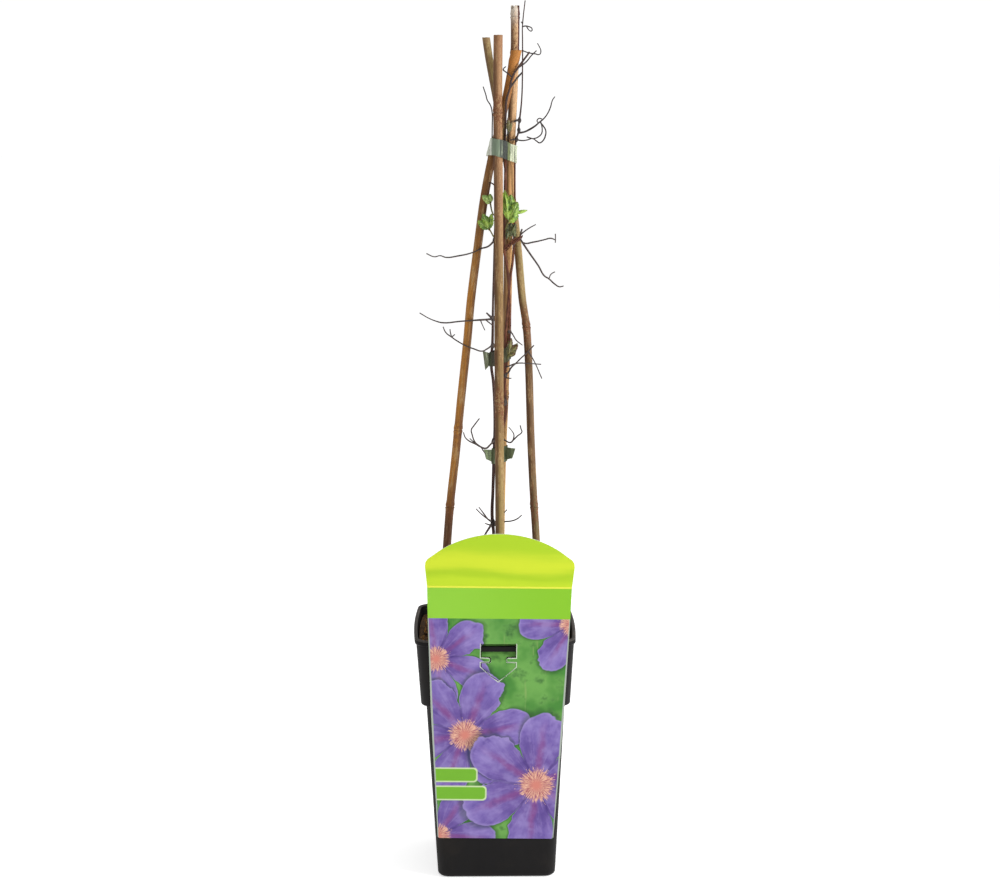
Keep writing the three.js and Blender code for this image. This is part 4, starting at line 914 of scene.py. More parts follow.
KNOBS_RIGHT = (
    (2.2, 13.5, 265, 1.9), (3.9, 12.8, 329.6, 1.8), (7.2, 10.2, 357.8, 1.9), (7.3, 9.6, 378.6, 1.8),
    (10.5, 7.4, 412.1, 1.6), (13.4, 2.6, 479.6, 1.7), (15.3, -1.7, 555.6, 1.5), (17.1, -0.3, 562.4, 1.4),
    (17.6, 0.3, 569.4, 1.5),
)
STALK_TOP_LEFT = (
    (0.5, 0.4, (
        (-2.9, -4.9, 544), (-2.8, -5, 553.2), (-2.6, -5, 565.2), (-2.7, -4.7, 575.2), (-4, -4.2, 580.5),
        (-6.3, -4.2, 584.1), (-7.2, -4.4, 587.6), (-9.3, -5, 593.8))),
)


# %% Draw a stem as curves and make it a mesh
KNOB_SHAPE = ((-1.5, 0.3), (-0.8, 0.8), (0, 1), (0.8, 0.75), (1.6, 0.3))


def strands(route, count, spread):
    """Thin strands that wander round one route and cross each other, as in a knot of old tendrils."""
    made = []
    for _ in range(count):
        points = [Vector(place) + Vector([rng.uniform(-spread, spread) for _ in range(3)]) for place in route]
        made.append((rng.uniform(0.35, 0.6), rng.uniform(0.25, 0.45), points))
    return tuple(made)


def draw_limb(curve, points, radii, kind):
    """One spline of the curve, with a thickness at each point and the number of its finish."""
    spline = curve.splines.new("BEZIER")
    spline.material_index = kind
    spline.bezier_points.add(len(points) - 1)
    for knot, place, radius in zip(spline.bezier_points, points, radii):
        knot.co = Vector(place) * MM
        knot.radius = radius
        knot.handle_left_type = knot.handle_right_type = "AUTO"


def drawn_mesh(limbs, knobs, finishes, woody=1):
    """A mesh of round limbs, whose thickness wanders as wood does: the first are woody, the others dry."""
    bpy.ops.curve.primitive_bezier_curve_add()
    piece = bpy.context.object
    curve = piece.data
    curve.splines.clear()
    curve.dimensions = "3D"
    curve.resolution_u = 5
    curve.bevel_depth = MM
    curve.bevel_resolution = 2
    curve.use_fill_caps = True
    for finish in finishes:
        curve.materials.append(finish)
    for i, (first, last, points) in enumerate(limbs):
        shares = [step / (len(points) - 1) for step in range(len(points))]
        radii = [(first + (last - first) * s) * rng.uniform(0.86, 1.1) for s in shares]
        draw_limb(curve, points, radii, 0 if i < woody else len(finishes) - 1)
    for x, y, z, radius in knobs:
        places = [(x, y, z + rise * radius) for rise, _ in KNOB_SHAPE]
        draw_limb(curve, places, [radius * share for _, share in KNOB_SHAPE], len(finishes) - 1)
    pick(piece)
    bpy.ops.object.convert(target="MESH")
    piece = bpy.context.object
    outwards(piece)
    return piece


# %% [markdown]
# Old clematis bark splits into long grey-brown strips, and the dry tendrils are nearly black. Both are the
# same finish with other colours: strips from noise that is stretched upwards, and a strong, fine bump.
# Towards the top every stem is as dark as its tendrils.

# %% Finish of the stems
def bark_finish(name, dark, middle, pale):
    finish = Finish(name)
    where = finish.place()
    strips = finish.speckle(finish.stretched(where, (1500, 1500, 120)), 1, 4, 0.7)
    patch = finish.speckle(where, 90, 4, 0.6)
    high_up = finish.parts(where)[2].rise(535 * MM, 560 * MM)
    colour = finish.layers(
        dark, (strips.rise(0.35, 0.65), middle), (patch.rise(0.55, 0.75) * 0.6, pale),
        (high_up * 0.75, paint(48, 42, 42)))
    relief = finish.bump(strips, 0.6, 0.3 * MM)
    return finish.surface(
        Base_Color=colour, Roughness=0.6 + strips * 0.3, Normal=relief, Specular_IOR_Level=0.3)


dark_bark = bark_finish("old clematis bark", paint(40, 24, 22), paint(72, 46, 40), paint(108, 84, 70))
red_bark = bark_finish("young clematis bark", paint(56, 30, 22), paint(110, 62, 40), paint(140, 98, 72))
tendril = bark_finish("dry tendril", paint(46, 38, 36), paint(80, 70, 66), paint(112, 102, 96))
stem_left = drawn_mesh(STEM_LEFT, KNOBS_LEFT, [dark_bark, tendril])
hand_over(stem_left, "stem_left_wood", "stem_bark", [], ["stem_left"])
FORK = 2
twists = strands(KNOT, 9, 1.35)
right_limbs = STEM_RIGHT[:FORK] + twists + STEM_RIGHT[FORK:]
stem_right = drawn_mesh(right_limbs, KNOBS_RIGHT, [red_bark, tendril], woody=FORK + len(twists))
hand_over(stem_right, "stem_right_wood", "stem_bark", [], ["stem_right"])
stalk_top_left = drawn_mesh(STALK_TOP_LEFT, (), [tendril])
hand_over(stalk_top_left, "stalk_top_left_dry", "dry_stalk", [], ["stalk_top_left"])

# %% [markdown]
# ## Tape ties
# Growers tie with stretchy green tape, pulled round canes and stems by a tying tool and stapled. Round the
# bundle it lies as a taut skin over what sticks out, so its plan is the shared hull of the rods that it
# holds. Where the ends are pinched together they stand off as small flags.

# %% Model the ties
RODS = {name: (cane["path"], lambda z, r=cane["radius"]: r) for name, cane in CANES.items()}


def add_rod(name, limb):
    """Notes a limb's path, and its radius at each height."""
    first, last, points = limb
    low, high = points[0][2], points[-1][2]
    RODS[name] = (points, lambda z: first + (last - first) * (z - low) / (high - low))


add_rod("trunk_left", STEM_LEFT[0])
add_rod("trunk_right", STEM_RIGHT[0])
add_rod("branch_right", STEM_RIGHT[1])
add_rod("stalk_top_left", STALK_TOP_LEFT[0])
TIE_PLAY = 0.45
HULL_STEPS = 240
BAND_POINTS = 96
BAND_ROWS = 12
BAND_RADIUS = 8
BAND_THICKNESS, FLAG_THICKNESS = 0.25, 0.3


def hull_point(rods, bearing, z, offset):
    """The outermost point of the held rods in one direction, plus an offset."""
    direction = Vector((math.cos(bearing), math.sin(bearing), 0))
    best = None
    for name in rods:
        path, radius_at = RODS[name]
        centre = route_at(path, z)
        reach = centre.dot(direction) + radius_at(z)
        if best is None or reach > best[0]:
            best = (reach, centre, radius_at(z))
    return best[1] + direction * (best[2] + offset)


def hull_loop(rods, z, offset):
    """Evenly spaced points round the hull, so that the tape can wrinkle between two rods as well."""
    around = [hull_point(rods, math.tau * i / HULL_STEPS, z, offset) for i in range(HULL_STEPS + 1)]
    lengths = [0]
    for here, there in zip(around, around[1:]):
        lengths.append(lengths[-1] + (there - here).length)
    loop, i = [], 0
    for step in range(BAND_POINTS):
        target = lengths[-1] * step / BAND_POINTS
        while lengths[i + 1] < target:
            i += 1
        share = (target - lengths[i]) / max(lengths[i + 1] - lengths[i], 1e-9)
        loop.append(around[i].lerp(around[i + 1], share))
    return loop


def tie_tilt(tie, bearing):
    """How far the sloping tape lies above or below its middle on one side."""
    return tie["slope"] * BAND_RADIUS * math.cos(bearing)


def model_band(tie):
    """A tube of circles, which is then pulled on to the hull and wrinkled."""
    bpy.ops.mesh.primitive_cylinder_add(
        vertices=BAND_POINTS, radius=MM, depth=MM, end_fill_type="NOTHING")
    piece = bpy.context.object
    with editing(piece):
        bpy.ops.mesh.select_all(action="SELECT")
        for i in range(1, BAND_ROWS):
            bpy.ops.mesh.bisect(plane_co=(0, 0, (i / BAND_ROWS - 0.5) * MM), plane_no=(0, 0, 1))
            bpy.ops.mesh.select_all(action="SELECT")
    lay_attribute(piece, "tape", lambda place: (math.atan2(place.y, place.x), place.z / MM, 0))
    loops = {}
    for point in piece.data.vertices:
        row = round((point.co.z / MM + 0.5) * BAND_ROWS)
        bearing = math.atan2(point.co.y, point.co.x)
        column = round(bearing / math.tau * BAND_POINTS) % BAND_POINTS
        level = 2 * row / BAND_ROWS - 1
        if row not in loops:
            loops[row] = hull_loop(tie["around"], tie["middle"] + level * tie["half"], TIE_PLAY)
        place = loops[row][column]
        pinch = tie["pinch"] * ring_noise(bearing, 3, 0.4 * level)
        ruck = 0.45 * abs(ring_noise(bearing, 9, 0.8 * level))
        rim = 1 + 0.12 * ring_noise(bearing, 2, level * 3)
        middle = Vector((place.x, place.y, 0))
        out = Vector((math.cos(bearing), math.sin(bearing), 0)) * (ruck + max(pinch, 0))
        height = tie["middle"] + tie_tilt(tie, bearing) + level * tie["half"] * rim
        height -= tie.get("front", 0) * math.sin(bearing)
        point.co = (middle + out + Vector((0, 0, height))) * MM
    modify(piece, "SOLIDIFY", thickness=BAND_THICKNESS * MM, offset=1)
    return piece


def model_flag(tie, flag):
    """A loose end: a small grid laid between the band and the flag's far edge, and rumpled."""
    bearing, low_end, high_end = flag
    angle = math.radians(bearing)
    root = hull_point(tie["around"], angle, tie["middle"], TIE_PLAY)
    rises = [tie_tilt(tie, angle) + side * tie["half"] * 0.8 for side in (-1, 1)]
    roots = [root + Vector((0, 0, rise)) for rise in rises]
    bpy.ops.mesh.primitive_grid_add(x_subdivisions=12, y_subdivisions=10, size=1)
    piece = bpy.context.object
    lay_attribute(piece, "tape", lambda place: (place.x, place.y, 1))
    for point in piece.data.vertices:
        u, v = point.co.x + 0.5, point.co.y + 0.5
        low = roots[0].lerp(Vector(low_end), u)
        high = roots[1].lerp(Vector(high_end), u)
        place = low.lerp(high, v)
        place.y += 0.7 * math.sin(4 * u + 2 * v) * u + 0.5 * noise.noise(place * 0.5)
        point.co = place * MM
    modify(piece, "SOLIDIFY", thickness=FLAG_THICKNESS * MM, offset=0)
    return piece


TIES = {
    "tie_top": {
        "around": (*CANES, "trunk_right", "branch_right", "stalk_top_left"),
        "middle": 546.7, "slope": -0.3, "half": 6.2, "pinch": 0.5, "front": 2.6, "flags": (),
    },
    "tie_middle": {
        "around": ("cane_back", "trunk_left", "trunk_right", "branch_right"),
        "middle": 393.6, "slope": 0.35, "half": 5.6, "pinch": 0.6,
        "flags": (
            (195, (-7.8, 8, 382.8), (-9.8, 7.8, 397.4)), (335, (14.9, 5.4, 395), (16.7, 5.2, 403.7))),
    },
    "tie_low": {
        "around": ("cane_back", "trunk_left", "trunk_right"),
        "middle": 316.4, "slope": 0.1, "half": 6, "pinch": 0.6,
        "flags": (
            (205, (-7.2, 12.6, 313.5), (-9.2, 12.2, 321.1)), (330, (12.6, 12.8, 314), (15.2, 12.4, 321.8))),
    },
}


# %% [markdown]
# The tape is thin, half clear film. Stretched over a pale cane it looks pale, and doubled it is a deep green.
# Its creases are darkened as painted shade and its crests lightened as painted highlight, and on the top tie
# a
# near-black stripe is painted shadow in the fold beside the front cane. Its sheen is what tells it from a
# leaf:
# low roughness, broken by fine stretch lines.
# Where it spans the open air at the sides of the bundle, the light comes through, so it is partly
# see-through there.

# %% Finish of the tape
def tape_finish(name, stops, clear_sides=0):
    """A tape whose colour changes across the tie: stops are (x in millimetres, colour)."""
    finish = Finish(name)
    where = finish.place()
    x = finish.parts(where)[0] * (1 / MM)
    folds = finish.speckle(finish.stretched(where, (700, 700, 70)), 1, 3, 0.65)
    lines = finish.speckle(finish.stretched(where, (2200, 2200, 160)), 1, 3, 0.6)
    colour = stops[0][1]
    for edge, next_colour in stops[1:]:
        colour = finish.blend((x + folds * 2 - 1).rise(edge - 1.2, edge + 0.2), colour, next_colour)
    # Painted shade in the creases of the folds, and painted highlight on their crests.
    colour = finish.layers(
        colour, (folds.rise(0.5, 0.34) * 0.7, paint(40, 48, 32)),
        (folds.rise(0.56, 0.7) * 0.45, paint(176, 188, 156)))
    relief = finish.bump(lines + folds * 1.5, 0.5, 0.4 * MM)
    clear = (x.rise(-3.4, -4.4) + x.rise(10.8, 11.8)) * clear_sides
    return finish.surface(Base_Color=colour, Roughness=0.4 + lines * 0.2, Normal=relief,
                          Specular_IOR_Level=0.35, Alpha=1 - clear)


TAPES = {
    # On the top tie, the near-black stop at 3.6 mm is painted shadow in the fold between the front cane and
    # the rods on its right.
    "tie_top": ("tie_tape_pale", (
        (-20, paint(222, 226, 210)), (-2.8, paint(104, 118, 98)), (3.6, paint(10, 20, 8)),
        (9.2, paint(86, 96, 48)), (11.2, paint(196, 204, 176))), 0.45),
    "tie_middle": ("tie_tape_dark", (
        (-20, paint(66, 70, 44)), (-3, paint(50, 46, 30)), (5, paint(70, 68, 40)),
        (13, paint(150, 146, 104)))),
    "tie_low": ("tie_tape_green", (
        (-20, paint(96, 110, 74)), (-3, paint(76, 86, 54)), (6, paint(98, 108, 76)),
        (12, paint(112, 122, 90)))),
}
for name, tie in TIES.items():
    band = model_band(tie)
    tape = merge([band] + [model_flag(tie, flag) for flag in tie["flags"]], name)
    hand_over(tape, name + "_tape", TAPES[name][0], [tape_finish(*TAPES[name])], [name])

# %% [markdown]
# ## Leaves
# The young leaves are small, toothed and crumpled, three to a stalk. One leaflet is modelled flat with its
# teeth, then each leaf on the plant is a copy of it, stretched, folded along its midrib and curled. The
# veins press the blade into ridges, so they are part of its shape as well as of its colour.

# %% Model one leaflet flat
LEAF_COLUMNS, LEAF_ROWS = 13, 31
TEETH, TOOTH_DEPTH = 6.5, 0.24
SIDE_VEINS, VEIN_SLANT = 5, 1.6
BLADE_THICKNESS = 0.28


def leaf_outline(v):
    """Half the leaflet's width at a share of its length, with forward-pointing teeth."""
    body = 0.1 + 0.9 * math.sin(math.pi * v ** 0.8) ** 0.8 if 0 < v < 1 else 0.1
    tooth = (v * TEETH) % 1
    return body * (0.8 + TOOTH_DEPTH * tooth) * (1 if v < 0.97 else 0.3)


bpy.ops.mesh.primitive_grid_add(x_subdivisions=LEAF_COLUMNS - 1, y_subdivisions=LEAF_ROWS - 1, size=1)
flat_leaf = bpy.context.object
flat_leaf.name = "flat_leaf"


def vein_relief(across, along):
    """Ridges of the side veins, which run outwards and forwards from the midrib."""
    return 0.5 + 0.5 * math.cos(math.tau * (SIDE_VEINS * along - VEIN_SLANT * abs(across)))


def model_leaflet(base, tip, width, fold, curl):
    """A copy of the flat leaflet, laid from its base to its tip."""
    leaf = own_copy(flat_leaf)
    lay_attribute(leaf, "blade", lambda place: (2 * place.x, place.y + 0.5, curl))
    start, reach = Vector(base), Vector(tip) - Vector(base)
    along = reach.normalized()
    side = along.cross(Vector((0, 1, 0))).normalized()
    face = side.cross(along)
    for point in leaf.data.vertices:
        across, v = 2 * point.co.x, point.co.y + 0.5
        outline = leaf_outline(v)
        lift = fold * abs(across) * outline - 0.9 * math.sin(math.pi * v)
        lift += 0.22 * vein_relief(across, v) * abs(across) ** 0.5
        lift += curl * noise.noise(Vector((across * 1.2, v * 2.4, curl * 9)))
        place = start + along * (v * reach.length) - side * (across * outline * width / 2) + face * lift
        point.co = place * MM
    modify(leaf, "SOLIDIFY", thickness=BLADE_THICKNESS * MM, offset=0)
    return leaf


# %% [markdown]
# A leaf is lighter along its veins and yellower at its rim, and this late in the year it browns from the
# tip. The finish reads each point's place on the flat leaflet: across, along, and how far this leaf has
# curled.

# %% Finish of the leaves
def leaf_finish(name, deep, fresh, vein, brown, age):
    finish = Finish(name)
    blade = finish.place("blade")
    across, along, _ = finish.parts(blade)
    off = across.maths("ABSOLUTE")
    ribs = (along * SIDE_VEINS - off * VEIN_SLANT).maths("FRACT")
    side_vein = 1 - (ribs - 0.5).maths("ABSOLUTE").rise(0.02, 0.16)
    midrib = 1 - off.rise(0.03, 0.12)
    where = finish.place()
    patch = finish.speckle(where, 260, 4, 0.6)
    grain = finish.speckle(where, 1800, 3, 0.7)
    wither = (along * 0.7 + off * 0.35 + patch * 0.5).rise(1.5 - age, 1.75 - age)
    colour = finish.layers(
        deep, (patch.rise(0.38, 0.62), fresh), ((midrib + side_vein * 0.45) * 0.6, vein), (wither, brown))
    relief = finish.bump(grain * 0.4 + side_vein * 0.6 + midrib, 0.4, 0.3 * MM)
    return finish.surface(
        Base_Color=colour, Roughness=0.42 + grain * 0.2, Normal=relief, Subsurface_Weight=0.12,
        Subsurface_Radius=(0.6 * MM, 1.2 * MM, 0.3 * MM), Subsurface_Scale=1.0)


green_leaf = leaf_finish(
    "green leaf", paint(70, 104, 26), paint(140, 172, 58), paint(176, 196, 108), paint(118, 100, 50), 0.42)
pale_leaf = leaf_finish(
    "pale leaf", paint(104, 136, 56), paint(168, 192, 104), paint(196, 212, 150), paint(130, 116, 70), 0.4)
dark_leaf = leaf_finish(
    "dark leaf", paint(46, 52, 26), paint(78, 84, 42), paint(110, 112, 66), paint(72, 54, 34), 0.5)
dry_leaf = leaf_finish(
    "dry leaf", paint(62, 62, 32), paint(104, 98, 50), paint(150, 140, 88), paint(88, 60, 36), 0.7)
green_stalk = bark_finish("leaf stalk", paint(70, 62, 34), paint(98, 98, 50), paint(130, 120, 70))

# %% The sprays, in millimetres: a stalk, then leaflets as base, tip, width, fold and curl
SPRAYS = {
    "leaves_left_upper": (pale_leaf, "leaf_green",
        ((-0.6, -0.1, 499.1), (-2.3, -3.2, 501.2), (-4.3, -5.6, 509.9)), (
        ((-4, -5.5, 509.4), (-9.8, -6.6, 514.6), 5.4, 0.7, 1),
        ((-4, -5.5, 509.4), (-4.2, -6.4, 515.6), 4.6, 0.6, 0.8),
        ((-4, -5.3, 509.2), (-8.4, -6.8, 510.4), 3.6, 0.5, 0.6))),
    "leaves_left_lower": (green_leaf, "leaf_green",
        ((-1.6, 1.6, 483.7), (-3.5, -2.6, 487.3), (-5.1, -5.4, 490.1)), (
        ((-4.9, -5.2, 489.8), (-13.5, -7.2, 495.8), 6.4, 0.9, 1.2),
        ((-5, -5.3, 489.9), (-9.5, -7.4, 501.1), 7, 1, 1),
        ((-5, -5.3, 489.9), (-3, -6.2, 501), 5.4, 0.7, 0.9))),
    "leaves_right": (green_leaf, "leaf_green",
        ((7.1, -1.9, 489), (8.3, -3.8, 492.5), (9.8, -4.6, 496.6)), (
        ((9.6, -5, 496.2), (6.4, -7.6, 518.4), 7.6, 1, 1.9),
        ((9.8, -4.5, 496.2), (11.4, -4.6, 515), 10.4, 1.1, 1.7),
        ((10, -4.7, 496), (16.2, -7, 509.6), 8.4, 0.9, 2),
        ((9.5, -4.4, 495.6), (17, -4.6, 499.6), 6, 0.7, 1.1),
        ((13.4, -5.2, 501.2), (23.6, -3.6, 503.4), 3, 1.2, 0.7))),
    "leaves_dark": (dark_leaf, "leaf_dark",
        ((10.4, -2, 481.4), (10.3, -2.3, 482.8), (10.3, -2.6, 484.8)), (
        ((10.3, -2.5, 484.2), (8.4, 0, 494), 4.4, 0.8, 1.2),
        ((10.3, -2.5, 484.2), (11.5, -1.8, 494.4), 7, 0.9, 1.7),
        ((10.3, -2.5, 484.2), (15, -2.2, 493.7), 5.4, 0.7, 1.8),
        ((9.6, -2, 491), (8, -2.8, 482), 3.6, 0.8, 1.4),
        ((12, -2.4, 491.4), (14.6, -2.8, 483.6), 4, 0.9, 1.5))),
    "remnants_top": (dry_leaf, "leaf_dry",
        ((8.3, -5.2, 558.4), (9, -6.2, 559.5), (9.4, -6.9, 561.1)), (
        ((9.3, -6.7, 560.5), (9.1, -9.4, 571.9), 3.2, 0.8, 0.9),
        ((9.3, -6.7, 560.5), (12.2, -7.4, 569.1), 2.8, 0.7, 0.8))),
    "remnants_middle": (dry_leaf, "leaf_dry",
        ((9, 4.6, 391.8), (9.4, 4.4, 393.2), (9.8, 4.1, 395.1)), (
        ((9.7, 4.2, 394.3), (11.8, 3.6, 407.5), 5, 1, 1.1),
        ((9.7, 4.2, 394.3), (16.7, 3.2, 402.6), 5.4, 1.1, 1.2),
        ((9.7, 4.2, 394.3), (14.8, 3, 395.3), 3.4, 0.8, 0.7))),
}
for name, (finish, slot, stalk, leaflets) in SPRAYS.items():
    stalk_piece = drawn_mesh([(0.55, 0.65, stalk)], [(*leaflets[0][0], 0.9)], [green_stalk])
    blades = [model_leaflet(*leaflet) for leaflet in leaflets]
    for blade in blades:
        blade.data.materials.append(finish)
    hand_over(merge([stalk_piece] + blades, name), name + "_spray", slot, [], [name])
bpy.data.objects.remove(flat_leaf)

# %% [markdown]
# ## Label: printed plastic sheet
# The label is die-cut from printed sheet. Its tongue is hinged at the top of a window, goes back over a
# notch in the rim, comes out again through a slot and locks with its arrow. The outline is drawn as a flat
# curve with the window as a hole, and the tongue as a second flat curve that is bent afterwards, as the
# real one is. Both are then stood against the rim, leaning outwards at the top.

# %% Sizes of the label, in its own plane: x from its centre line, height above the ground
LABEL_THICKNESS = 0.7
LABEL_LEAN, LABEL_ROLL = math.radians(5.1), math.radians(0.8)
HANG_Z = 187
LABEL_Y = -61.9
LABEL_BOTTOM, LABEL_SHOULDER, LABEL_APEX = 32.5, 247.7, 272.7
LABEL_WIDTHS = ((32.5, 43.7), (134.6, 49.6), (207.7, 52.4), (232, 53.1), (247.7, 54.8))
WINDOW_HALF, WINDOW_TOP, WINDOW_BOTTOM = 13.1, 188.1, 177.2
ARROW_TOP, ARROW_SHOULDER, ARROW_TIP = 173.5, 170, 158.7
BARB_REACH = 7
TONGUE_BEHIND_Y = -57.2
TONGUE_CUTS = 60
ARCH_STEPS = 24
ARCH_INSET, ARCH_FOOT = 5, 7


def label_outline():
    """The outline as (x, height) corners, with the arch and the corners as round stretches."""
    right = [(LABEL_WIDTHS[0][1] - 1, LABEL_BOTTOM), (LABEL_WIDTHS[0][1], LABEL_BOTTOM + 1)]
    right += [(half, height) for height, half in LABEL_WIDTHS[1:]]
    shoulder = LABEL_WIDTHS[-1][1]
    arch_half = shoulder - ARCH_INSET
    arch_rise = LABEL_APEX - LABEL_SHOULDER - ARCH_FOOT
    right += [(shoulder - 0.4, LABEL_SHOULDER + 3), (shoulder - 1.9, LABEL_SHOULDER + 5.4)]
    for step in range(1, ARCH_STEPS):
        x = arch_half * (1 - step / ARCH_STEPS)
        right.append((x, LABEL_SHOULDER + ARCH_FOOT + arch_rise * (1 - (x / arch_half) ** 2) ** 0.85))
    return right + [(0, LABEL_APEX)] + [(-x, height) for x, height in reversed(right)]


def arrow_outline(inset, top):
    """The window and the arrow below it, with its two barbs."""
    half, neck = WINDOW_HALF - inset, WINDOW_HALF - BARB_REACH - inset
    low, high = ARROW_TOP - inset, WINDOW_BOTTOM + inset
    right = [
        (half, top), (half, high), (neck + 0.8, high - 0.2), (neck, high - 1.2), (neck, low + 1.2),
        (neck + 0.8, low + 0.2), (half, low), (half, ARROW_SHOULDER),
        (half * 0.45, (ARROW_SHOULDER + ARROW_TIP) / 2 - 1.6 + inset), (0, ARROW_TIP + 1.4 * inset),
    ]
    return right + [(-x, height) for x, height in reversed(right[:-1])]


# %% Model the plate and the tongue
def flat_sheet(outlines, thickness):
    """A flat curve, filled and given a thickness, made a mesh and stood upright."""
    bpy.ops.curve.primitive_bezier_circle_add()
    piece = bpy.context.object
    curve = piece.data
    curve.splines.clear()
    curve.dimensions = "2D"
    curve.fill_mode = "BOTH"
    curve.extrude = thickness / 2 * MM
    for outline in outlines:
        spline = curve.splines.new("POLY")
        spline.points.add(len(outline) - 1)
        for corner, (x, height) in zip(spline.points, outline):
            corner.co = (x * MM, height * MM, 0, 1)
        spline.use_cyclic_u = True
    pick(piece)
    bpy.ops.object.convert(target="MESH")
    piece = bpy.context.object
    piece.rotation_euler = (math.pi / 2, 0, 0)
    bpy.ops.object.transform_apply(rotation=True)
    outwards(piece)
    lay_attribute(piece, "print", lambda place: (place.x / MM, place.z / MM, 0))
    return piece


def slope_at(height):
    """How far forward or back the leaning label lies at a height."""
    return LABEL_Y + (HANG_Z - height) * math.tan(LABEL_LEAN)


def tongue_depth(height):
    """How far back the tongue lies at a height: over the rim, down behind the wall and out of the slot."""
    bends = (
        (ARROW_TIP - 2, slope_at(ARROW_TIP - 2)), (SLOT_HEIGHTS[0] + 0.6, slope_at(SLOT_HEIGHTS[0] + 0.6)),
        (SLOT_HEIGHTS[1] - 0.8, TONGUE_BEHIND_Y), (NOTCH_HEIGHTS[0] + 0.9, TONGUE_BEHIND_Y),
        (WINDOW_TOP, slope_at(WINDOW_TOP)), (WINDOW_TOP + 20, slope_at(WINDOW_TOP + 20)),
    )
    for (low, low_y), (high, high_y) in zip(bends, bends[1:]):
        if height <= high:
            share = max((height - low) / (high - low), 0)
            return low_y + (high_y - low_y) * share
    return bends[-1][1]


plate = flat_sheet([label_outline(), arrow_outline(0, WINDOW_TOP)], LABEL_THICKNESS)
for point in plate.data.vertices:
    x, y, z = point.co / MM
    turned_x = x * math.cos(LABEL_ROLL) + (z - HANG_Z) * math.sin(LABEL_ROLL)
    turned_z = (z - HANG_Z) * math.cos(LABEL_ROLL) - x * math.sin(LABEL_ROLL)
    leaned_y = y * math.cos(LABEL_LEAN) - turned_z * math.sin(LABEL_LEAN)
    leaned_z = y * math.sin(LABEL_LEAN) + turned_z * math.cos(LABEL_LEAN)
    point.co = Vector((turned_x + LABEL_X, leaned_y + LABEL_Y - LABEL_THICKNESS / 2, leaned_z + HANG_Z)) * MM
tongue = flat_sheet([arrow_outline(0.5, WINDOW_TOP + 0.3)], LABEL_THICKNESS)
with editing(tongue):
    for i in range(1, TONGUE_CUTS):
        bpy.ops.mesh.select_all(action="SELECT")
        height = ARROW_TIP + (WINDOW_TOP - ARROW_TIP) * i / TONGUE_CUTS
        bpy.ops.mesh.bisect(plane_co=(0, 0, height * MM), plane_no=(0, 0, 1))
for point in tongue.data.vertices:
    x, y, z = point.co / MM
    point.co = Vector((x + LABEL_X, y + tongue_depth(z) - LABEL_THICKNESS / 2, z)) * MM

# %% [markdown]
# The print has a fresh yellow-green head with soft swooshes, a plain green band, and a garden picture of
# violet blossoms on blurred green. It is painted with formulas on the label's own flat coordinates, in
# millimetres, so it stays sharp at any distance: a blossom is a wave round a centre, a tab is a distance to
# a box.

# %% Drawing helpers for the print
def box_mask(x, y, left, right, low, high, corner, soft=0.25):
    """A rounded box as a mask, by the distance to it."""
    dx = (x - (left + right) / 2).maths("ABSOLUTE") - ((right - left) / 2 - corner)
    dy = (y - (low + high) / 2).maths("ABSOLUTE") - ((high - low) / 2 - corner)
    dx, dy = dx.maths("MAXIMUM", 0), dy.maths("MAXIMUM", 0)
    return 1 - ((dx * dx + dy * dy).maths("SQRT") - corner).rise(-soft, soft)


def line_mask(x, y, start, end, half_width):
    """A straight line as a mask, by the distance to it."""
    run, climb_by = end[0] - start[0], end[1] - start[1]
    length = run ** 2 + climb_by ** 2
    share = ((x - start[0]) * (run / length) + (y - start[1]) * (climb_by / length)).maths("MAXIMUM", 0)
    share = share.maths("MINIMUM", 1)
    dx, dy = x - share * run - start[0], y - share * climb_by - start[1]
    return 1 - (dx * dx + dy * dy).maths("SQRT").rise(half_width * 0.6, half_width * 1.4)


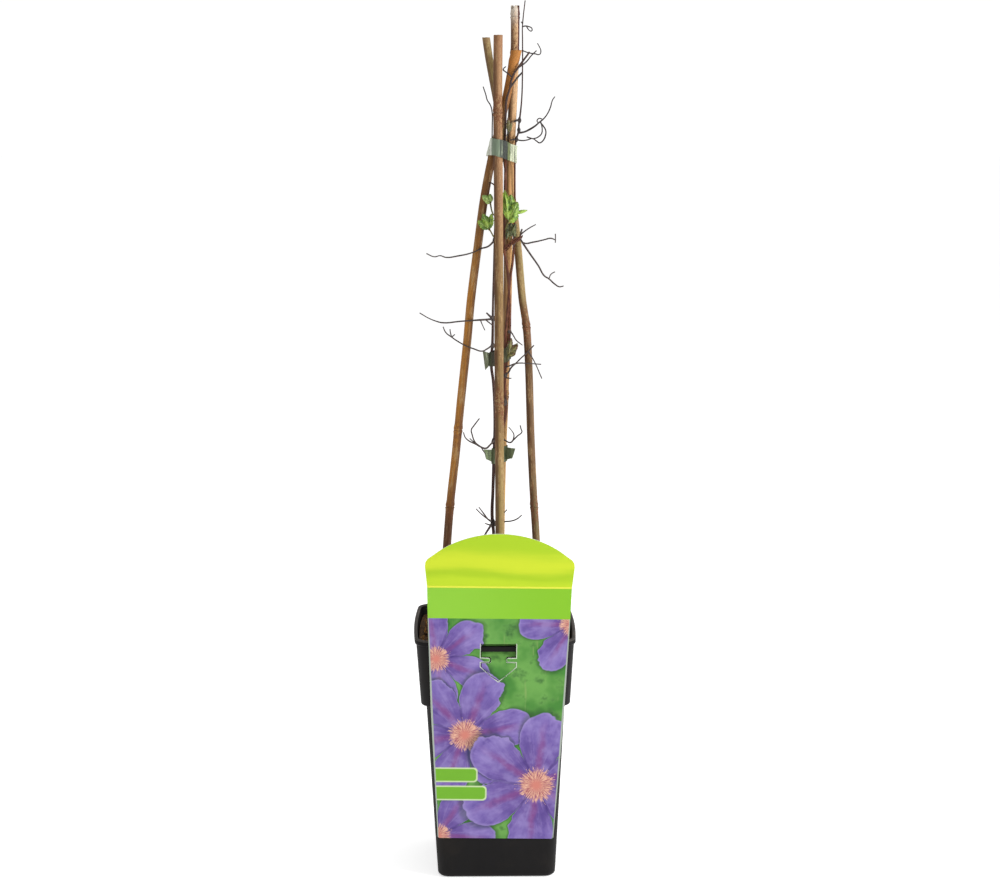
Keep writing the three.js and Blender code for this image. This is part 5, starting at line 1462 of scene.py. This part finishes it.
# %% Paint one blossom over a picture
def paint_blossom(finish, x, y, colour, centre, reach, turn, wobble):
    """Broad petals round a heart, each with a soft shadow, pale rim, darker streaks and a magenta midrib."""
    dx, dy = x - centre[0], y - centre[1]
    distance = (dx * dx + dy * dy).maths("SQRT")
    bearing = dy.maths("ARCTAN2", dx)
    angle = bearing + turn + wobble * 0.02
    share = (angle * (PETALS / math.tau)).maths("FRACT") - 0.5
    width = (share * math.pi).maths("COSINE")
    edge = reach * (0.36 + width ** 0.5 * 0.64) + wobble
    past_edge = distance - edge
    colour = finish.blend((1 - past_edge.rise(0, reach * 0.12)) * 0.55, colour, paint(34, 62, 40))
    depth = distance * (1 / reach)
    silk = finish.speckle(finish.flat(bearing * 9, distance * 0.05), 1, 4, 0.65)
    sheen = finish.speckle(finish.flat(x, y), 0.07, 3, 0.55)
    off_rib = share.maths("ABSOLUTE")
    rib = 1 - (off_rib * distance).rise(0.2, 3.4 * reach / 45)
    seam = off_rib.rise(0.4, 0.5) * (1 - depth.rise(0.2, 0.75))
    petal = finish.layers(
        paint(104, 78, 150),
        (depth.rise(0.1, 0.95), paint(134, 114, 186)),
        (silk.rise(0.42, 0.68) * 0.45, paint(104, 84, 160)),
        (silk.rise(0.5, 0.34) * 0.4, paint(158, 138, 200)),
        (rib * (1 - depth.rise(0.45, 1)) * 0.6, paint(140, 70, 132)),
        (sheen.rise(0.45, 0.7) * 0.5, paint(164, 148, 208)),
        (sheen.rise(0.48, 0.3) * 0.5, paint(78, 56, 134)),
        (seam * 0.6, paint(58, 40, 112)),
        (past_edge.rise(-reach * 0.05, -0.4) * 0.35, paint(172, 156, 210)))
    colour = finish.blend(1 - past_edge.rise(-0.5, 0.6), colour, petal)
    threads = finish.speckle(finish.flat(bearing * 9, distance * 0.12), 1.6, 3, 0.7)
    heart = 1 - (distance - threads * reach * 0.42).rise(-reach * 0.03, reach * 0.03)
    gold = finish.layers(
        paint(168, 84, 96), (threads.rise(0.4, 0.6), paint(236, 186, 160)),
        (1 - depth.rise(0.02, 0.12), paint(214, 132, 118)))
    return finish.blend(heart, colour, gold)


# %% Finish of the print
BAND_LOW, BAND_HIGH = 207.7, 232
INK_SHARE = 0.24
TAB_BOXES = ((-60, -14.2, 78, 89.8), (-60, -7.3, 63.3, 75.2))
TAB_RIM = 1.1
SIDE_SLOPE, SIDE_FOOT = 0.0497, 42.1
SWOOSHES = (
    (233, 243, paint(174, 209, 36)), (240, 250, paint(212, 229, 50)), (250, 264, paint(178, 213, 40)),
)
PETALS = 6
BLOSSOMS = (
    ((54, 204), 40, 0.5), ((-46, 176), 42, 0.9), ((-44, 34), 44, 0.55), ((-24, 116), 52, 0.35),
    ((30, 76), 58, 0.1),
)
CUT_LINE = (
    (WINDOW_HALF + 0.3, WINDOW_TOP), (WINDOW_HALF + 0.3, WINDOW_BOTTOM - 0.2),
    (WINDOW_HALF - BARB_REACH, WINDOW_BOTTOM - 0.4), (WINDOW_HALF - BARB_REACH, ARROW_TOP + 0.4),
    (WINDOW_HALF + 0.3, ARROW_TOP + 0.2), (WINDOW_HALF + 0.3, ARROW_SHOULDER), (0, ARROW_TIP - 0.6),
)


def picture(finish, x, y):
    """The garden picture: blurred leaves, then blossoms from the farthest to the nearest."""
    flat = finish.flat(x, y)
    blur = finish.speckle(flat, 0.035, 3, 0.5)
    mottle = finish.speckle(flat, 0.07, 3, 0.6)
    stalks = finish.speckle(finish.stretched(flat, (0.16, 0.03, 1)), 1, 2, 0.5)
    colour = finish.layers(
        paint(72, 136, 56), (blur.rise(0.38, 0.6), paint(112, 170, 82)),
        (mottle.rise(0.52, 0.7) * 0.8, paint(46, 92, 48)),
        (stalks.rise(0.62, 0.74) * 0.6, paint(150, 176, 104)))
    wobble = (finish.speckle(flat, 0.1, 2, 0.5) - 0.5) * 9
    for centre, reach, turn in BLOSSOMS:
        colour = paint_blossom(finish, x, y, colour, centre, reach, turn, wobble)
    return colour


def label_finish():
    """The whole print: the picture first, then the tabs, the band, the head and the cut lines over it."""
    finish = Finish("label print")
    x, y, _ = finish.parts(finish.place("print"))
    colour = picture(finish, x, y)
    for left, right, low, high in TAB_BOXES:
        outer = box_mask(x, y, left, right, low, high, 3)
        inner = box_mask(x, y, left, right - TAB_RIM, low + TAB_RIM, high - TAB_RIM, 2.4)
        colour = finish.layers(colour, (outer, paint(206, 226, 170)), (inner, paint(118, 182, 48)))
    band = finish.blend(x.rise(-50, 50), paint(148, 208, 61), paint(139, 200, 44))
    brushed = finish.speckle(finish.stretched(finish.flat(x, y), (0.012, 0.1, 1)), 1, 3, 0.6)
    swoosh = y + (x * 0.04).maths("SINE") * 4 - x * 0.06 + (brushed - 0.5) * 12
    stripes = [(swoosh.rise(low, high), tint) for low, high, tint in SWOOSHES]
    head = finish.layers(paint(196, 224, 44), *stripes)
    line = (y > BAND_HIGH - 0.7) * (y < BAND_HIGH + 0.7)
    mirrored = x.maths("ABSOLUTE")
    border = (mirrored - (y * SIDE_SLOPE + SIDE_FOOT)).rise(-0.8, -0.5) * (y < BAND_LOW)
    colour = finish.layers(
        colour, (y > BAND_LOW, band), (y > BAND_HIGH, head), (line, paint(232, 236, 74)),
        (border, paint(172, 182, 170)))
    for start, end in zip(CUT_LINE, CUT_LINE[1:]):
        colour = finish.blend(line_mask(mirrored, y, start, end, 0.32) * 0.8, colour, paint(214, 224, 206))
    colour = finish.blend(INK_SHARE, colour, (0, 0, 0, 1))
    dots = finish.speckle(finish.place(), 2600, 2, 0.5)
    relief = finish.bump(dots, 0.08, 0.05 * MM)
    return finish.surface(
        Base_Color=colour, Roughness=0.4 + dots * 0.06, Normal=relief, Specular_IOR_Level=0.15)


def sheet_finish():
    """The bare sheet, which shows on the back and on every cut edge."""
    finish = Finish("bare label sheet")
    fleck = finish.speckle(finish.place(), 700, 4, 0.6)
    colour = finish.blend(fleck, paint(228, 230, 226), paint(242, 243, 240))
    relief = finish.bump(fleck, 0.1, 0.05 * MM)
    return finish.surface(Base_Color=colour, Roughness=0.42 + fleck * 0.1, Normal=relief)


label = merge([plate, tongue], "label")
for finish in (label_finish(), sheet_finish()):
    label.data.materials.append(finish)
for face in label.data.polygons:
    face.material_index = 0 if face.normal.y < -0.3 else 1
hand_over(label, "label_sheet", "label_print", [], ["label"], smooth=25)

# %% [markdown]
# ## Studio
# A plain pale floor and a white room. The main light is a tall soft panel from the right, as the bright
# right edges of the canes tell, and weaker ones fill from the left and from above. The room is brighter to
# the camera than to the plant: so the background comes out white, and the plant keeps its soft shadows.

# %% Floor, lights and room
scene = bpy.context.scene
scene.view_settings.view_transform = "Standard"
bpy.ops.mesh.primitive_plane_add(size=60)
floor = bpy.context.object
floor.name = "studio_floor"
floor_finish = Finish("studio floor")
haze = floor_finish.speckle(floor_finish.place(), 3, 2, 0.5)
floor_colour = floor_finish.blend(haze, (0.88, 0.88, 0.88, 1), (0.92, 0.92, 0.92, 1))
floor.data.materials.append(floor_finish.surface(
    Base_Color=floor_colour, Roughness=0.9, Specular_IOR_Level=0.1, Emission_Color=(1, 1, 1, 1),
    Emission_Strength=0.6))


def soft_panel(name, place, target, size, power):
    """A rectangular light that faces its target."""
    bpy.ops.object.light_add(type="AREA", location=place)
    light = bpy.context.object
    light.name = name
    light.data.shape = "RECTANGLE"
    light.data.size, light.data.size_y = size
    light.data.energy = power
    light.rotation_euler = (Vector(target) - Vector(place)).to_track_quat("-Z", "Y").to_euler()


PANELS = {
    "main panel": ((1.6, -0.7, 0.8), (0, 0, 0.35), (0.6, 1.4), 34),
    "fill panel": ((-1.6, -1.6, 0.9), (0, 0, 0.3), (1.2, 1.4), 5),
    "top panel": ((0.1, 0.2, 2.4), (0, 0, 0.3), (1.6, 1.6), 10),
}
ROOM_LIGHT, ROOM_SEEN = 0.46, 1.05
for name, settings in PANELS.items():
    soft_panel(name, *settings)
room = bpy.data.worlds.new("white room")
room.use_nodes = True
wiring = room.node_tree
ray = wiring.nodes.new("ShaderNodeLightPath")
level = wiring.nodes.new("ShaderNodeMapRange")
level.inputs["To Min"].default_value = ROOM_LIGHT
level.inputs["To Max"].default_value = ROOM_SEEN
wiring.links.new(ray.outputs["Is Camera Ray"], level.inputs["Value"])
wiring.links.new(level.outputs[0], wiring.nodes["Background"].inputs["Strength"])
wiring.nodes["Background"].inputs["Color"].default_value = (1, 1, 1, 1)
scene.world = room
print(len(PANELS), "soft panels and a white room")
